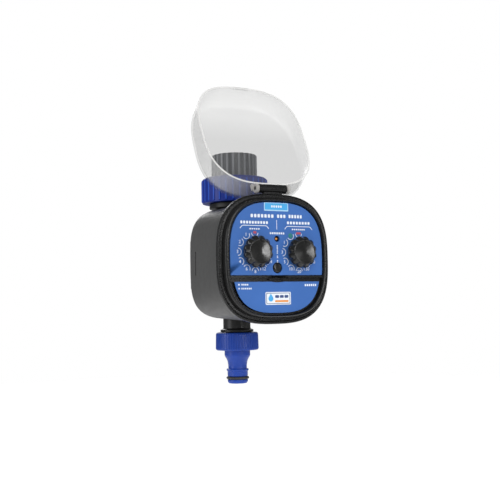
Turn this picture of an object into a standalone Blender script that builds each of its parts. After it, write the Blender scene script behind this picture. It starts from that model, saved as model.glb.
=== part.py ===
"""Drip irrigation timer: a tap-hung water timer with two dials, a swing-up
clear lid, a motor-driven ball valve and a hose spigot.

Metres, +Z up, +X to the right seen from the front, -Y towards the user.
The origin is on the water axis, at the top face of the inlet adaptor, where
the tap screws in. The lid is modelled swung up and back, at rest on its stop.
"""

import math

import bmesh
import bpy
from mathutils import Matrix, Vector

MM = 0.001
GAP = 0.3 * MM            # space left between pieces that touch
MERGE = 0.05 * MM

# ---- driving dimensions -------------------------------------------------

# water axis, heights down from the tap face
ADAPTOR_H = 16.8 * MM
ADAPTOR_R = 16.7 * MM
TAP_BORE_R = 13.2 * MM    # G 3/4 female thread
NUT_TOP = -17.1 * MM
NUT_BOTTOM = -35.7 * MM
NUT_R = 24.4 * MM
COLLAR_TOP = -36.0 * MM
COLLAR_R = 18.6 * MM
BODY_R = 14.3 * MM
BALL_Z = -80.0 * MM
BALL_R = 8.5 * MM
PORT_R = 4.5 * MM
BODY_BOTTOM = -95.0 * MM
OUTLET_NECK_R = 9.9 * MM
OUTLET_FLANGE = (-127.5 * MM, -129.3 * MM)
OUTLET_THREAD_R = 13.1 * MM
CONNECTOR_TOP = -129.6 * MM
CONNECTOR_R = 15.6 * MM
SPIGOT_END = -166.4 * MM
SPIGOT_BORE_R = 4.6 * MM

# face of the timer
FACE_Z = -79.0 * MM
FACE_Y = -60.7 * MM       # front of the label plates
FLOOR_FRONT = -58.4 * MM
FLOOR_BACK = -56.4 * MM
FLANGE_BACK = -53.8 * MM
FLANGE_FRONT = -57.5 * MM
BEZEL_N = 2.9             # superellipse power of the outlines
RECESS = (35.9 * MM, 38.05 * MM, -78.75 * MM)
DIVIDER_TOP = -90.5 * MM
DIVIDER_BOTTOM = -91.9 * MM
KNOB_X = 17.0 * MM
KNOB_Z = -74.7 * MM
KNOB_R = 10.9 * MM
BUTTON_Z = -85.2 * MM
LED_Z = -65.7 * MM
SHAFT_HOLE_R = 4.0 * MM
BUTTON_HOLE_R = 3.75 * MM
LED_HOLE_R = 2.1 * MM
FLOOR_DRILL = (50.0 * MM, 70.0 * MM)   # reach of the cutters through the floor

# housing
HOUSE_Z = -80.7 * MM
HOUSE_FRONT = -53.4 * MM
HOUSE_SHOULDER = (36.8 * MM, 39.5 * MM, -80.2 * MM, -6.8 * MM)   # half width, half height, middle, y
HOUSE_ROUND = 16.0 * MM
HOUSE_N = 3.9             # the housing grows squarer towards its back
HOUSE_BACK = 15.1 * MM
WALL = 2.0 * MM
BACK_FACE = 18.3 * MM
PLATE_HALF = (28.0 * MM, 20.6 * MM)
PLATE_Z = -80.0 * MM
SCREW_X = 24.0 * MM
SCREW_Z = (-64.6 * MM, -92.6 * MM)
SCREW_HOLE_R = 1.7 * MM
SCREW_GRIP_R = 1.5 * MM
SCREW_HEAD_R = 2.8 * MM

# lid
HINGE_Y = -55.0 * MM
HINGE_Z = -31.2 * MM
BARREL_R = 3.15 * MM
BARREL_HALF = 10.5 * MM
EAR = (10.9 * MM, 13.1 * MM, 3.5 * MM)   # inner side, outer side, radius
PIN_R = 1.2 * MM
PIN_BORE_R = 1.5 * MM
LID_OPEN = math.radians(206.5)
LID_WALL = 1.2 * MM
LID_ROUND = 2.6 * MM      # how far the wall turns in at the crown

# gear train, module 0.7 mm, pressure angle 25 degrees
MODULE = 0.7 * MM
PRESSURE = math.radians(25)
PINION_TEETH = 12
WHEEL_TEETH = 24
OUTPUT_TEETH = 32
GEAR_LAYERS = (-26.0 * MM, -29.3 * MM, -32.6 * MM)
GEAR_THICK = 2.7 * MM
STEM_ANGLE = 91.4         # direction from stem to second gear, degrees
IDLER_ANGLE = -23.0       # direction from second gear to first gear
MOTOR_ANGLE = -40.0       # direction from first gear to motor pinion

# battery bay
BATTERY_R = 5.25 * MM
BATTERY_HALF = 22.25 * MM
BATTERY_Z = -103.5 * MM
BATTERY_Y = (-50.4 * MM, -39.2 * MM)

RING = 36                 # points round a large outline
STEPS = 28                # steps of a large turned piece
SMALL_STEPS = 16

BLUE = (0.02, 0.07, 0.42, 1.0)
LABEL = (0.06, 0.17, 0.55, 1.0)
BLACK = (0.012, 0.012, 0.012, 1.0)
GREY = (0.11, 0.11, 0.105, 1.0)
ADAPTOR_GREY = (0.10, 0.105, 0.12, 1.0)
CLEAR = (0.85, 0.86, 0.86, 0.4)
WHITE = (0.8, 0.8, 0.78, 1.0)
STEEL = (0.55, 0.55, 0.56, 1.0)
BRASS = (0.62, 0.45, 0.16, 1.0)
RUBBER = (0.02, 0.02, 0.02, 1.0)
BOARD = (0.02, 0.16, 0.07, 1.0)
AMBER = (0.9, 0.35, 0.05, 1.0)


# ---- scene and materials ------------------------------------------------

def clear_scene():
    for thing in list(bpy.data.objects):
        bpy.data.objects.remove(thing, do_unlink=True)


def new_collection(name):
    group = bpy.data.collections.new(name)
    bpy.context.scene.collection.children.link(group)
    return group


clear_scene()
PARTS = new_collection("drip_irrigation_timer")
CUTTERS = new_collection("cutters")


def material(name, colour, roughness, metallic=0.0):
    mat = bpy.data.materials.new(name)
    mat.use_nodes = True
    shader = mat.node_tree.nodes["Principled BSDF"]
    shader.inputs["Base Color"].default_value = colour
    shader.inputs["Roughness"].default_value = roughness
    shader.inputs["Metallic"].default_value = metallic
    shader.inputs["Alpha"].default_value = colour[3]
    return mat


def node(name, mesh, colour, roughness=0.5, metallic=0.0, place=(0, 0, 0), turn=(0, 0, 0)):
    """A sub-part: one object with its own material."""
    thing = bpy.data.objects.new(name, mesh)
    PARTS.objects.link(thing)
    mesh.materials.clear()
    mesh.materials.append(material(name, colour, roughness, metallic))
    thing.location = place
    thing.rotation_euler = turn
    return thing


def cutter(mesh, place=(0, 0, 0), turn=(0, 0, 0)):
    thing = bpy.data.objects.new("cutter", mesh)
    CUTTERS.objects.link(thing)
    thing.location = place
    thing.rotation_euler = turn
    thing.hide_render = True
    thing.display_type = "WIRE"
    return thing


def combine(target, operation, *tools):
    for tool in tools:
        step = target.modifiers.new(operation.lower(), "BOOLEAN")
        step.operation = operation
        step.solver = "EXACT"
        step.object = tool


def cut(target, *tools):
    combine(target, "DIFFERENCE", *tools)


def join(target, *tools):
    combine(target, "UNION", *tools)


FRONT = (math.pi / 2, 0, 0)    # local +Z points to the front, -Y
SIDE = (0, math.pi / 2, 0)     # local +Z points to the right, +X


# ---- shape tools --------------------------------------------------------

def box_mesh(low, high):
    """A block between two corners."""
    bm = bmesh.new()
    bmesh.ops.create_cube(bm, size=1.0)
    size = [high[i] - low[i] for i in range(3)]
    middle = Vector([(high[i] + low[i]) / 2 for i in range(3)])
    bmesh.ops.scale(bm, vec=size, verts=bm.verts)
    bmesh.ops.translate(bm, vec=middle, verts=bm.verts)
    return bm_mesh(bm, "box")


def bm_mesh(bm, name):
    bmesh.ops.recalc_face_normals(bm, faces=bm.faces)
    mesh = bpy.data.meshes.new(name)
    bm.to_mesh(mesh)
    bm.free()
    return mesh


def rod_mesh(radius, low, high, steps=SMALL_STEPS, tip=None):
    """A cylinder, or a cone when tip is given, along local Z."""
    bm = bmesh.new()
    top = radius if tip is None else tip
    bmesh.ops.create_cone(bm, cap_ends=True, segments=steps, radius1=radius, radius2=top, depth=high - low)
    bmesh.ops.translate(bm, vec=(0, 0, (high + low) / 2), verts=bm.verts)
    return bm_mesh(bm, "rod")


def turned_mesh(profile, steps=STEPS, closed=False):
    """A profile of (radius, height) points turned about local Z. It runs down
    the outer side, and back up the inner side when it is closed."""
    mesh = bpy.data.meshes.new("profile")
    points = [(r, 0.0, z) for r, z in profile]
    edges = [(i, i + 1) for i in range(len(points) - 1)]
    if closed:
        edges.append((len(points) - 1, 0))
    mesh.from_pydata(points, edges, [])
    blank = bpy.data.objects.new("profile", mesh)
    bpy.context.scene.collection.objects.link(blank)
    screw = blank.modifiers.new("turn", "SCREW")
    screw.steps = steps
    screw.render_steps = steps
    screw.use_merge_vertices = True
    screw.merge_threshold = MERGE
    solid = frozen(blank)
    solid.name = "turned"
    smooth(solid)
    return solid


def frozen(thing):
    """The evaluated mesh of an object, which is then removed."""
    bpy.context.view_layer.update()
    graph = bpy.context.evaluated_depsgraph_get()
    mesh = bpy.data.meshes.new_from_object(thing.evaluated_get(graph))
    source = thing.data
    bpy.data.objects.remove(thing, do_unlink=True)
    if isinstance(source, bpy.types.Mesh):
        bpy.data.meshes.remove(source)
    bm = bmesh.new()
    bm.from_mesh(mesh)
    bmesh.ops.remove_doubles(bm, verts=bm.verts, dist=0.004 * MM)
    bmesh.ops.recalc_face_normals(bm, faces=bm.faces)
    bm.to_mesh(mesh)
    bm.free()
    return mesh


def smooth(mesh, degrees=35):
    mesh.shade_smooth()
    mesh.set_sharp_from_angle(angle=math.radians(degrees))


def slab_mesh(loops, low, high):
    """Flat outlines, the first one outside and any others holes in it,
    filled and given a thickness from low to high along local Z."""
    curve = bpy.data.curves.new("outline", "CURVE")
    curve.dimensions = "2D"
    curve.fill_mode = "BOTH"
    curve.extrude = (high - low) / 2
    for loop in loops:
        line = curve.splines.new("POLY")
        line.points.add(len(loop) - 1)
        for point, (x, y) in zip(line.points, loop):
            point.co = (x, y, 0, 1)
        line.use_cyclic_u = True
    blank = bpy.data.objects.new("outline", curve)
    bpy.context.scene.collection.objects.link(blank)
    mesh = frozen(blank)
    mesh.transform(Matrix.Translation((0, 0, (low + high) / 2)))
    smooth(mesh)
    return mesh


def circle(radius, centre=(0, 0), steps=SMALL_STEPS):
    turns = [2 * math.pi * i / steps for i in range(steps)]
    return [(centre[0] + radius * math.cos(t), centre[1] + radius * math.sin(t)) for t in turns]


def rounded_box(half_x, half_z, radius, centre=(0, 0), steps=5):
    """A rectangle with round corners."""
    points = []
    for quarter, (sx, sz) in enumerate([(1, 1), (-1, 1), (-1, -1), (1, -1)]):
        mid = (centre[0] + sx * (half_x - radius), centre[1] + sz * (half_z - radius))
        for i in range(steps + 1):
            t = math.pi / 2 * (quarter + i / steps)
            points.append((mid[0] + radius * math.cos(t), mid[1] + radius * math.sin(t)))
    return points


def power(value, exponent):
    return math.copysign(abs(value) ** exponent, value)


def squircle(half_x, half_z, centre_z, steps=RING, exponent=BEZEL_N):
    """The timer's rounded-square outline, a superellipse."""
    points = []
    for i in range(steps):
        t = 2 * math.pi * (i + 0.5) / steps
        x = half_x * power(math.cos(t), 2 / exponent)
        z = centre_z + half_z * power(math.sin(t), 2 / exponent)
        points.append((x, z))
    return points


def loft_mesh(rings):
    """A skin through rings of equal point counts, closed at both ends."""
    bm = bmesh.new()
    rows = [[bm.verts.new(point) for point in ring] for ring in rings]
    count = len(rows[0])
    for one, two in zip(rows, rows[1:]):
        for i in range(count):
            j = (i + 1) % count
            bm.faces.new((one[i], one[j], two[j], two[i]))
    bm.faces.new(rows[0])
    bm.faces.new(rows[-1])
    mesh = bm_mesh(bm, "loft")
    smooth(mesh)
    return mesh


def ring_at(half_x, half_z, centre_z, y, exponent=BEZEL_N):
    return [(x, y, z) for x, z in squircle(half_x, half_z, centre_z, exponent=exponent)]


# ---- case ---------------------------------------------------------------

def housing_rings(inset, back):
    """Rings of the tub-shaped housing from its front edge to its back."""
    rings = [ring_at(37.5 * MM - inset, 41.0 * MM - inset, HOUSE_Z, HOUSE_FRONT)]
    half_x, half_z, middle, shoulder = HOUSE_SHOULDER
    turns = 4
    for i in range(turns + 1):
        t = math.pi / 2 * i / turns * 0.94
        draw = inset + HOUSE_ROUND * (1 - math.cos(t))
        depth = shoulder + (back - shoulder) * math.sin(t)
        rings.append(ring_at(half_x - draw, half_z - draw, middle, depth, HOUSE_N))
    return rings


def rear_housing():
    outer = housing_rings(0.0, HOUSE_BACK)
    inner = housing_rings(WALL, HOUSE_BACK - WALL)
    tub = node("rear_housing", loft_mesh(list(reversed(outer)) + inner), GREY, 0.55)
    # raised pad on the back, hollow behind, that carries the back plate
    pad = rounded_box(PLATE_HALF[0] - 0.5 * MM, PLATE_HALF[1] - 0.5 * MM, 3.2 * MM, (0, PLATE_Z))
    pad_core = rounded_box(PLATE_HALF[0] - 2.5 * MM, PLATE_HALF[1] - 2.5 * MM, 1.5 * MM, (0, PLATE_Z))
    pad_front = 6.0 * MM
    pad_back = BACK_FACE - 2.8 * MM
    join(tub, cutter(slab_mesh([pad], -pad_back, -pad_front), turn=FRONT))
    cut(tub, cutter(slab_mesh([pad_core], -(pad_back - WALL), 6 * MM), turn=FRONT))
    for x in (-SCREW_X, SCREW_X):
        for z in SCREW_Z:
            boss = rod_mesh(3.7 * MM, -(pad_back - 1.0 * MM), 49.0 * MM)
            join(tub, cutter(boss, (x, 0, z), FRONT))
            hole = rod_mesh(SCREW_HOLE_R, -30 * MM, 60 * MM)
            cut(tub, cutter(hole, (x, 0, z), FRONT))
    cut(tub, cutter(rod_mesh(BODY_R + GAP, -99.8 * MM, -36 * MM, STEPS)))
    cut(tub, cutter(rod_mesh(OUTLET_NECK_R + GAP, -130 * MM, -99 * MM, STEPS)))
    for side in (-1, 1):
        # moulded slot low on the rounded back corner of each flank
        slot = box_mesh((side * 35.6 * MM, -10.2 * MM, -89 * MM), (side * 40 * MM, -8.8 * MM, -72 * MM))
        cut(tub, cutter(slot))
    return tub


def back_plate():
    outline = rounded_box(PLATE_HALF[0], PLATE_HALF[1], 3.5 * MM, (0, PLATE_Z))
    front = BACK_FACE - 2.5 * MM
    plate = node("back_plate", slab_mesh([outline], -BACK_FACE, -front), GREY, 0.5, turn=FRONT)
    for x in (-SCREW_X, SCREW_X):
        for z in SCREW_Z:
            cut(plate, cutter(rod_mesh(SCREW_HOLE_R, -30 * MM, 0), (x, 0, z), FRONT))
            seat = rod_mesh(SCREW_HEAD_R + GAP, -30 * MM, -(BACK_FACE - 2.0 * MM))
            cut(plate, cutter(seat, (x, 0, z), FRONT))


def bezel_rings():
    """Rings from the recess floor, over the raised rim and round the flange,
    to the skirt that enters the housing and the back of the floor."""
    half_x, half_z, middle = RECESS
    groove = -78.4 * MM
    return [
        ring_at(half_x, half_z, middle, FLOOR_FRONT),
        ring_at(half_x + 0.2 * MM, half_z + 0.2 * MM, middle, -61.2 * MM),
        ring_at(36.9 * MM, 38.7 * MM, middle, -62.2 * MM),
        ring_at(38.3 * MM, 39.1 * MM, -78.5 * MM, -62.5 * MM),
        ring_at(39.3 * MM, 39.85 * MM, groove, -61.6 * MM),
        ring_at(39.7 * MM, 40.2 * MM, groove, -59.5 * MM),
        ring_at(39.8 * MM, 40.5 * MM, groove, -56.7 * MM),
        ring_at(42.0 * MM, 42.7 * MM, groove, -56.7 * MM),
        ring_at(42.1 * MM, 42.8 * MM, groove, FLANGE_FRONT),
        ring_at(42.6 * MM, 43.6 * MM, FACE_Z, FLANGE_FRONT + 0.1 * MM),
        ring_at(42.9 * MM, 44.0 * MM, FACE_Z, FLANGE_FRONT + 0.7 * MM),
        ring_at(42.9 * MM, 44.0 * MM, FACE_Z, FLANGE_BACK - 0.6 * MM),
        ring_at(42.4 * MM, 43.5 * MM, FACE_Z, FLANGE_BACK),
        ring_at(35.1 * MM, 38.6 * MM, HOUSE_Z, FLANGE_BACK),
        ring_at(35.1 * MM, 38.6 * MM, HOUSE_Z, -48.0 * MM),
        ring_at(33.5 * MM, 37.0 * MM, HOUSE_Z, -48.0 * MM),
        ring_at(33.5 * MM, 37.0 * MM, HOUSE_Z, FLOOR_BACK),
    ]


def front_bezel():
    bezel = node("front_bezel", loft_mesh(bezel_rings()), BLACK, 0.22)
    bar = box_mesh((-35.95 * MM, FACE_Y - 0.2 * MM, DIVIDER_BOTTOM), (35.95 * MM, -57.5 * MM, DIVIDER_TOP))
    web = box_mesh((-7 * MM, -56.9 * MM, -36.2 * MM), (7 * MM, -54.0 * MM, HINGE_Z))
    barrel = rod_mesh(BARREL_R, -BARREL_HALF, BARREL_HALF, 32)
    join(bezel, cutter(bar), cutter(web), cutter(barrel, (0, HINGE_Y, HINGE_Z), SIDE))
    cut(bezel, cutter(rod_mesh(PIN_BORE_R, -20 * MM, 20 * MM, 20), (0, HINGE_Y, HINGE_Z), SIDE))
    for x in (-SCREW_X, SCREW_X):
        for z in SCREW_Z:
            post = rod_mesh(3.3 * MM, 49.4 * MM, 57.4 * MM)
            join(bezel, cutter(post, (x, 0, z), FRONT))
            cut(bezel, cutter(rod_mesh(SCREW_GRIP_R, 45 * MM, 56.2 * MM), (x, 0, z), FRONT))
    control_holes(bezel)
    bay = box_mesh((-25.6 * MM, -62 * MM, -109.4 * MM), (25.6 * MM, -50 * MM, -97.9 * MM))
    cut(bezel, cutter(bay))
    cut(bezel, cutter(finger_notch(), turn=FRONT))
    return bezel


def control_holes(target):
    """The holes for both dial shafts, the button and the lamp."""
    for x in (-KNOB_X, KNOB_X):
        cut(target, cutter(rod_mesh(SHAFT_HOLE_R, *FLOOR_DRILL), (x, 0, KNOB_Z), FRONT))
    cut(target, cutter(rod_mesh(BUTTON_HOLE_R, *FLOOR_DRILL), (0, 0, BUTTON_Z), FRONT))
    cut(target, cutter(rod_mesh(LED_HOLE_R, *FLOOR_DRILL), (0, 0, LED_Z), FRONT))


def finger_notch():
    """Oval scoop astride the divider, where a fingertip opens the door."""
    oval = [(x * 8.6, z * 1.9 - 92.4 * MM) for x, z in circle(1.0 * MM, steps=28)]
    return slab_mesh([oval], 59.2 * MM, 64 * MM)


def face_seal():
    """Soft gasket round the skirt, pinched between housing and bezel."""
    outer = squircle(34.9 * MM, 38.4 * MM, HOUSE_Z)
    inner = squircle(33.6 * MM, 37.1 * MM, HOUSE_Z)
    node("face_seal", slab_mesh([outer, inner], 46.3 * MM, 47.7 * MM), RUBBER, 0.8, turn=FRONT)


def clipped(shape, edge, above):
    """A rounded-square outline of (half width, half height, centre height),
    keeping what lies above or below a straight edge."""
    half_x, half_z, middle = shape
    sign = 1 if above else -1
    ring = squircle(half_x, half_z, middle, 56)
    kept = [point for point in ring if sign * (point[1] - edge) > 0.2 * MM]
    kept.sort(key=lambda point: -math.atan2(sign * (point[1] - edge), point[0]))
    wide = half_x * (1 - (abs(edge - middle) / half_z) ** BEZEL_N) ** (1 / BEZEL_N)
    return [(-wide, edge)] + kept + [(wide, edge)]


def in_recess(play, edge, above):
    half_x, half_z, middle = RECESS
    return clipped((half_x - play, half_z - play, middle), edge, above)


def face_panel():
    back = -FLOOR_FRONT + GAP
    outline = in_recess(0.35 * MM, DIVIDER_TOP + GAP, above=True)
    plate = node("face_panel", slab_mesh([outline], back, -FACE_Y), LABEL, 0.35, turn=FRONT)
    control_holes(plate)


def battery_door():
    back = -FLOOR_FRONT + GAP
    top = DIVIDER_BOTTOM - GAP
    outline = in_recess(0.35 * MM, top, above=False)
    door = node("battery_door", slab_mesh([outline], back, -FACE_Y), BLACK, 0.25, turn=FRONT)
    cut(door, cutter(finger_notch(), turn=FRONT))
    pocket = in_recess(1.5 * MM, top - 2.1 * MM, above=False)
    cut(door, cutter(slab_mesh([pocket], -FACE_Y - 0.6 * MM, 70 * MM), turn=FRONT))
    # two snap catches that spring past the edge of the bay
    for x in (-12 * MM, 12 * MM):
        catch = box_mesh((x - 2.5 * MM, FLOOR_FRONT - 1 * MM, -98.9 * MM),
                         (x + 2.5 * MM, FLOOR_BACK + 0.2 * MM, -98.2 * MM))
        join(door, cutter(catch))
    label = in_recess(1.7 * MM, top - 2.35 * MM, above=False)
    node("door_label", slab_mesh([label], -FACE_Y - 0.4 * MM, -FACE_Y + 0.05 * MM), LABEL, 0.35, turn=FRONT)


# ---- lid ----------------------------------------------------------------

def lid_ring(level, inset, lift):
    """One ring of the lid in its closed place, measured from the hinge axis.
    level runs from the rim, 0, to the crown, 1. The wall starts straight and
    then curves, in at the free end and slightly out at the sides. The crown
    leans so that the lid is a little deeper by the hinge."""
    bow = level ** 2
    half_x = (41.6 + 1.5 * bow) * MM - inset
    half_z = (42.2 - 2.1 * bow) * MM - inset
    middle = -(47.2 - 5.3 * bow) * MM
    depth = (2.2 + 16.0 * level) * MM - lift
    lean = -0.04 * level
    ring = []
    for x, z in squircle(half_x, half_z, middle):
        ring.append((x, -depth + lean * (z - middle), z))
    return ring


def lid_skin(inset, lift):
    rings = [lid_ring(level, inset, lift * level) for level in (0.0, 0.35, 0.7)]
    turns = 5
    for i in range(1, turns + 1):
        t = math.pi / 2 * i / turns
        level = 0.7 + 0.3 * math.sin(t)
        rings.append(lid_ring(level, inset + LID_ROUND * (1 - math.cos(t)), lift * level))
    return rings


def lid():
    outer = lid_skin(0.0, 0.0)
    inner = lid_skin(LID_WALL, LID_WALL)
    rim = node("lid", loft_mesh(list(reversed(outer)) + inner), CLEAR, 0.3)
    pivot = bpy.data.objects.new("lid_pivot", None)
    PARTS.objects.link(pivot)
    pivot.location = (0, HINGE_Y, HINGE_Z)
    pivot.rotation_euler = (-LID_OPEN, 0, 0)
    rim.parent = pivot
    tools = []
    inner_side, outer_side, ear_r = EAR
    for side in (-1, 1):
        low, high = sorted((side * inner_side, side * outer_side))
        tools.append(cutter(rod_mesh(ear_r, low, high), turn=SIDE))
        tools.append(cutter(box_mesh((low, -6.4 * MM, -3.2 * MM), (high, 0, 1.9 * MM))))
        tools.append(cutter(box_mesh((low, -6.4 * MM, -5.9 * MM), (high, -3.0 * MM, 0))))
    lip = box_mesh((-6 * MM, -4.2 * MM, -90.5 * MM), (6 * MM, -2.9 * MM, -88.2 * MM))
    tools.append(cutter(lip))
    bore = cutter(rod_mesh(PIN_BORE_R, -20 * MM, 20 * MM, 20), turn=SIDE)
    for tool in tools + [bore]:
        tool.parent = pivot
    join(rim, *tools)
    cut(rim, bore)
    pin = rod_mesh(PIN_R, -13.0 * MM, 13.0 * MM, 20)
    node("hinge_pin", pin, BLACK, 0.3, place=(0, HINGE_Y, HINGE_Z), turn=SIDE)


# ---- dials, button and lamp ---------------------------------------------

def lobed(radius, depth, lobes, per_lobe=4):
    """Outline of a grip with shallow round flutes."""
    points = []
    count = lobes * per_lobe
    for i in range(count):
        t = 2 * math.pi * i / count
        flute = max(0.0, math.cos(lobes * t)) ** 2
        points.append(((radius - depth * flute) * math.cos(t), (radius - depth * flute) * math.sin(t)))
    return points


def dial(name, x):
    """A fluted knob on the D-shaped shaft of its potentiometer."""
    base = 61.3 * MM
    front = 69.1 * MM
    place = (x, 0, KNOB_Z)
    knob = node(name + "_knob", slab_mesh([lobed(KNOB_R, 0.9 * MM, 12)], base, front), BLACK, 0.28,
                place=place, turn=FRONT)
    shape = [(0, front + 1 * MM), (8.2 * MM, front + 1 * MM), (8.4 * MM, front - 0.2 * MM),
             (8.9 * MM, front - 0.8 * MM), (10.6 * MM, front - 2.4 * MM), (11.2 * MM, front - 3.4 * MM),
             (11.2 * MM, base + 3.2 * MM), (9.4 * MM, base + 0.8 * MM), (9.4 * MM, base - 1 * MM),
             (0, base - 1 * MM)]
    combine(knob, "INTERSECT", cutter(turned_mesh(shape), place, FRONT))
    dish = [(0, front + 2 * MM), (8.5 * MM, front + 2 * MM), (7.4 * MM, front), (0, front - 0.5 * MM)]
    cut(knob, cutter(turned_mesh(dish), place, FRONT))
    mark = box_mesh((-0.45 * MM, 5.2 * MM, front - 0.9 * MM), (0.45 * MM, 9.2 * MM, front + 3 * MM))
    cut(knob, cutter(mark, place, FRONT))
    cut(knob, cutter(rod_mesh(3.05 * MM, base - 3 * MM, front - 2.2 * MM), place, FRONT))
    shaft = rod_mesh(2.9 * MM, 54.0 * MM, front - 2.5 * MM)
    node(name + "_shaft", shaft, WHITE, 0.4, place=place, turn=FRONT)
    can = [(0, 56.0 * MM), (3.6 * MM, 56.0 * MM), (3.6 * MM, 54.5 * MM), (8.0 * MM, 54.3 * MM),
           (8.0 * MM, 47.9 * MM), (0, 47.9 * MM)]
    body = node(name + "_potentiometer", turned_mesh(can, 20), STEEL, 0.35, 0.8, place, FRONT)
    cut(body, cutter(rod_mesh(3.1 * MM, 53.7 * MM, 60 * MM), place, FRONT))


def button():
    place = (0, 0, BUTTON_Z)
    cap = [(0, 61.2 * MM), (2.6 * MM, 61.2 * MM), (3.4 * MM, 60.6 * MM), (3.4 * MM, 56.0 * MM),
           (4.8 * MM, 56.0 * MM), (4.8 * MM, 54.8 * MM), (1.6 * MM, 54.8 * MM), (1.6 * MM, 52.6 * MM),
           (0, 52.6 * MM)]
    node("manual_button", turned_mesh(cap, 20), BLACK, 0.3, place=place, turn=FRONT)
    plunger = rod_mesh(1.5 * MM, 50.7 * MM, 52.3 * MM, 20)
    node("switch_plunger", plunger, WHITE, 0.4, place=place, turn=FRONT)
    switch = node("tact_switch", box_mesh((-3 * MM, -3 * MM, 47.9 * MM), (3 * MM, 3 * MM, 51.4 * MM)),
                  RUBBER, 0.5, place=place, turn=FRONT)
    cut(switch, cutter(rod_mesh(1.8 * MM, 49.2 * MM, 60 * MM, 20), place, FRONT))
    dome = [(1.5 * MM * math.sin(t), 58.4 * MM + 1.5 * MM * math.cos(t))
            for t in [math.pi / 2 * i / 4 for i in range(5)]]
    lamp = dome + [(1.5 * MM, 55.6 * MM), (1.9 * MM, 55.6 * MM), (1.9 * MM, 54.6 * MM), (0, 54.6 * MM)]
    node("status_led", turned_mesh(lamp, 14), AMBER, 0.15, place=(0, 0, LED_Z), turn=FRONT)
    spacer = [(1.9 * MM, 54.3 * MM), (1.9 * MM, 47.9 * MM), (0.9 * MM, 47.9 * MM), (0.9 * MM, 54.3 * MM)]
    node("led_spacer", turned_mesh(spacer, 14, closed=True), WHITE, 0.5, place=(0, 0, LED_Z), turn=FRONT)


def circuit_board():
    outline = clipped((31.2 * MM, 34.6 * MM, HOUSE_Z), -91.0 * MM, above=True)
    board = node("circuit_board", slab_mesh([outline], 46.0 * MM, 47.6 * MM), BOARD, 0.4, turn=FRONT)
    for x in (-SCREW_X, SCREW_X):
        cut(board, cutter(rod_mesh(4.1 * MM, 40 * MM, 50 * MM), (x, 0, SCREW_Z[0]), FRONT))
        corner = box_mesh((x - 9 * MM, -50 * MM, -97 * MM), (x + 9 * MM, -40 * MM, -88.2 * MM))
        cut(board, cutter(corner))
    chip = box_mesh((-9 * MM, -45.7 * MM, -62 * MM), (-1 * MM, -43.5 * MM, -50 * MM))
    node("controller_chip", chip, RUBBER, 0.4)
    can = rod_mesh(3.1 * MM, 38.5 * MM, 45.7 * MM, 20)
    node("supply_capacitor", can, (0.03, 0.05, 0.12, 1), 0.35, place=(6 * MM, 0, -82 * MM), turn=FRONT)


# ---- batteries ----------------------------------------------------------

def battery_tray():
    """Open-fronted bay behind the door; its rim stops short of the floor."""
    front = -FLOOR_BACK - GAP
    outside = [(-27.0, -96.8), (27.0, -96.8), (27.0, -107.2), (23.9, -110.4), (-23.9, -110.4), (-27.0, -107.2)]
    inside = [(-25.6, -98.0), (25.6, -98.0), (25.6, -106.6), (23.2, -109.2), (-23.2, -109.2), (-25.6, -106.6)]
    shell = [(x * MM, z * MM) for x, z in outside]
    bay = [(x * MM, z * MM) for x, z in inside]
    tray = node("battery_tray", slab_mesh([shell], 32.6 * MM, front), BLACK, 0.5, turn=FRONT)
    cut(tray, cutter(slab_mesh([bay], 33.8 * MM, 60 * MM), turn=FRONT))
    for index, y in enumerate(BATTERY_Y):
        side = 1 if index else -1
        name = ("front", "back")[index]
        place = (0, y, BATTERY_Z)
        cell = [(0, BATTERY_HALF), (1.9 * MM, BATTERY_HALF), (1.9 * MM, 21.4 * MM), (4.8 * MM, 21.4 * MM),
                (BATTERY_R, 20.9 * MM), (BATTERY_R, -21.8 * MM), (4.8 * MM, -BATTERY_HALF), (0, -BATTERY_HALF)]
        turn = (0, side * math.pi / 2, 0)
        node("battery_" + name, turned_mesh(cell, 20), STEEL, 0.35, 0.3, place, turn)
        plate = box_mesh((-4 * MM, -4.4 * MM, 22.6 * MM), (4 * MM, 4.4 * MM, 23.0 * MM))
        node("contact_plate_" + name, plate, STEEL, 0.3, 0.9, place, turn)
        node("contact_spring_" + name, spring_mesh(), STEEL, 0.3, 0.9, place, turn)


def spring_mesh():
    """A conical battery spring of 0.5 mm wire at the cell's flat end."""
    turns, per_turn = 2.5, 8
    count = int(turns * per_turn)
    curve = bpy.data.curves.new("spring", "CURVE")
    curve.dimensions = "3D"
    curve.bevel_depth = 0.25 * MM
    curve.bevel_resolution = 0
    curve.use_fill_caps = True
    line = curve.splines.new("POLY")
    line.points.add(count)
    for i, point in enumerate(line.points):
        share = i / count
        angle = 2 * math.pi * turns * share
        radius = (1.6 + 1.0 * share) * MM
        point.co = (radius * math.cos(angle), radius * math.sin(angle), -(22.85 + 2.1 * share) * MM, 1)
    blank = bpy.data.objects.new("spring", curve)
    bpy.context.scene.collection.objects.link(blank)
    return frozen(blank)


def case_screws():
    """Four long screws from the back plate, through the case, into the bezel."""
    shank = [(0, 55.6 * MM), (1.3 * MM, 55.6 * MM), (1.3 * MM, -16.6 * MM), (SCREW_HEAD_R, -16.6 * MM),
             (SCREW_HEAD_R, -18.0 * MM), (0, -18.0 * MM)]
    number = 0
    for z in SCREW_Z:
        for x in (-SCREW_X, SCREW_X):
            number += 1
            screw = node("case_screw_%d" % number, turned_mesh(shank, 12), STEEL, 0.3, 0.9, (x, 0, z), FRONT)
            for spin in (0, math.pi / 2):
                slot = box_mesh((-0.35 * MM, -1.7 * MM, -19 * MM), (0.35 * MM, 1.7 * MM, -17.2 * MM))
                slot.transform(Matrix.Rotation(spin, 4, "Z"))
                cut(screw, cutter(slot, (x, 0, z), FRONT))


# ---- water path ---------------------------------------------------------

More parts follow.
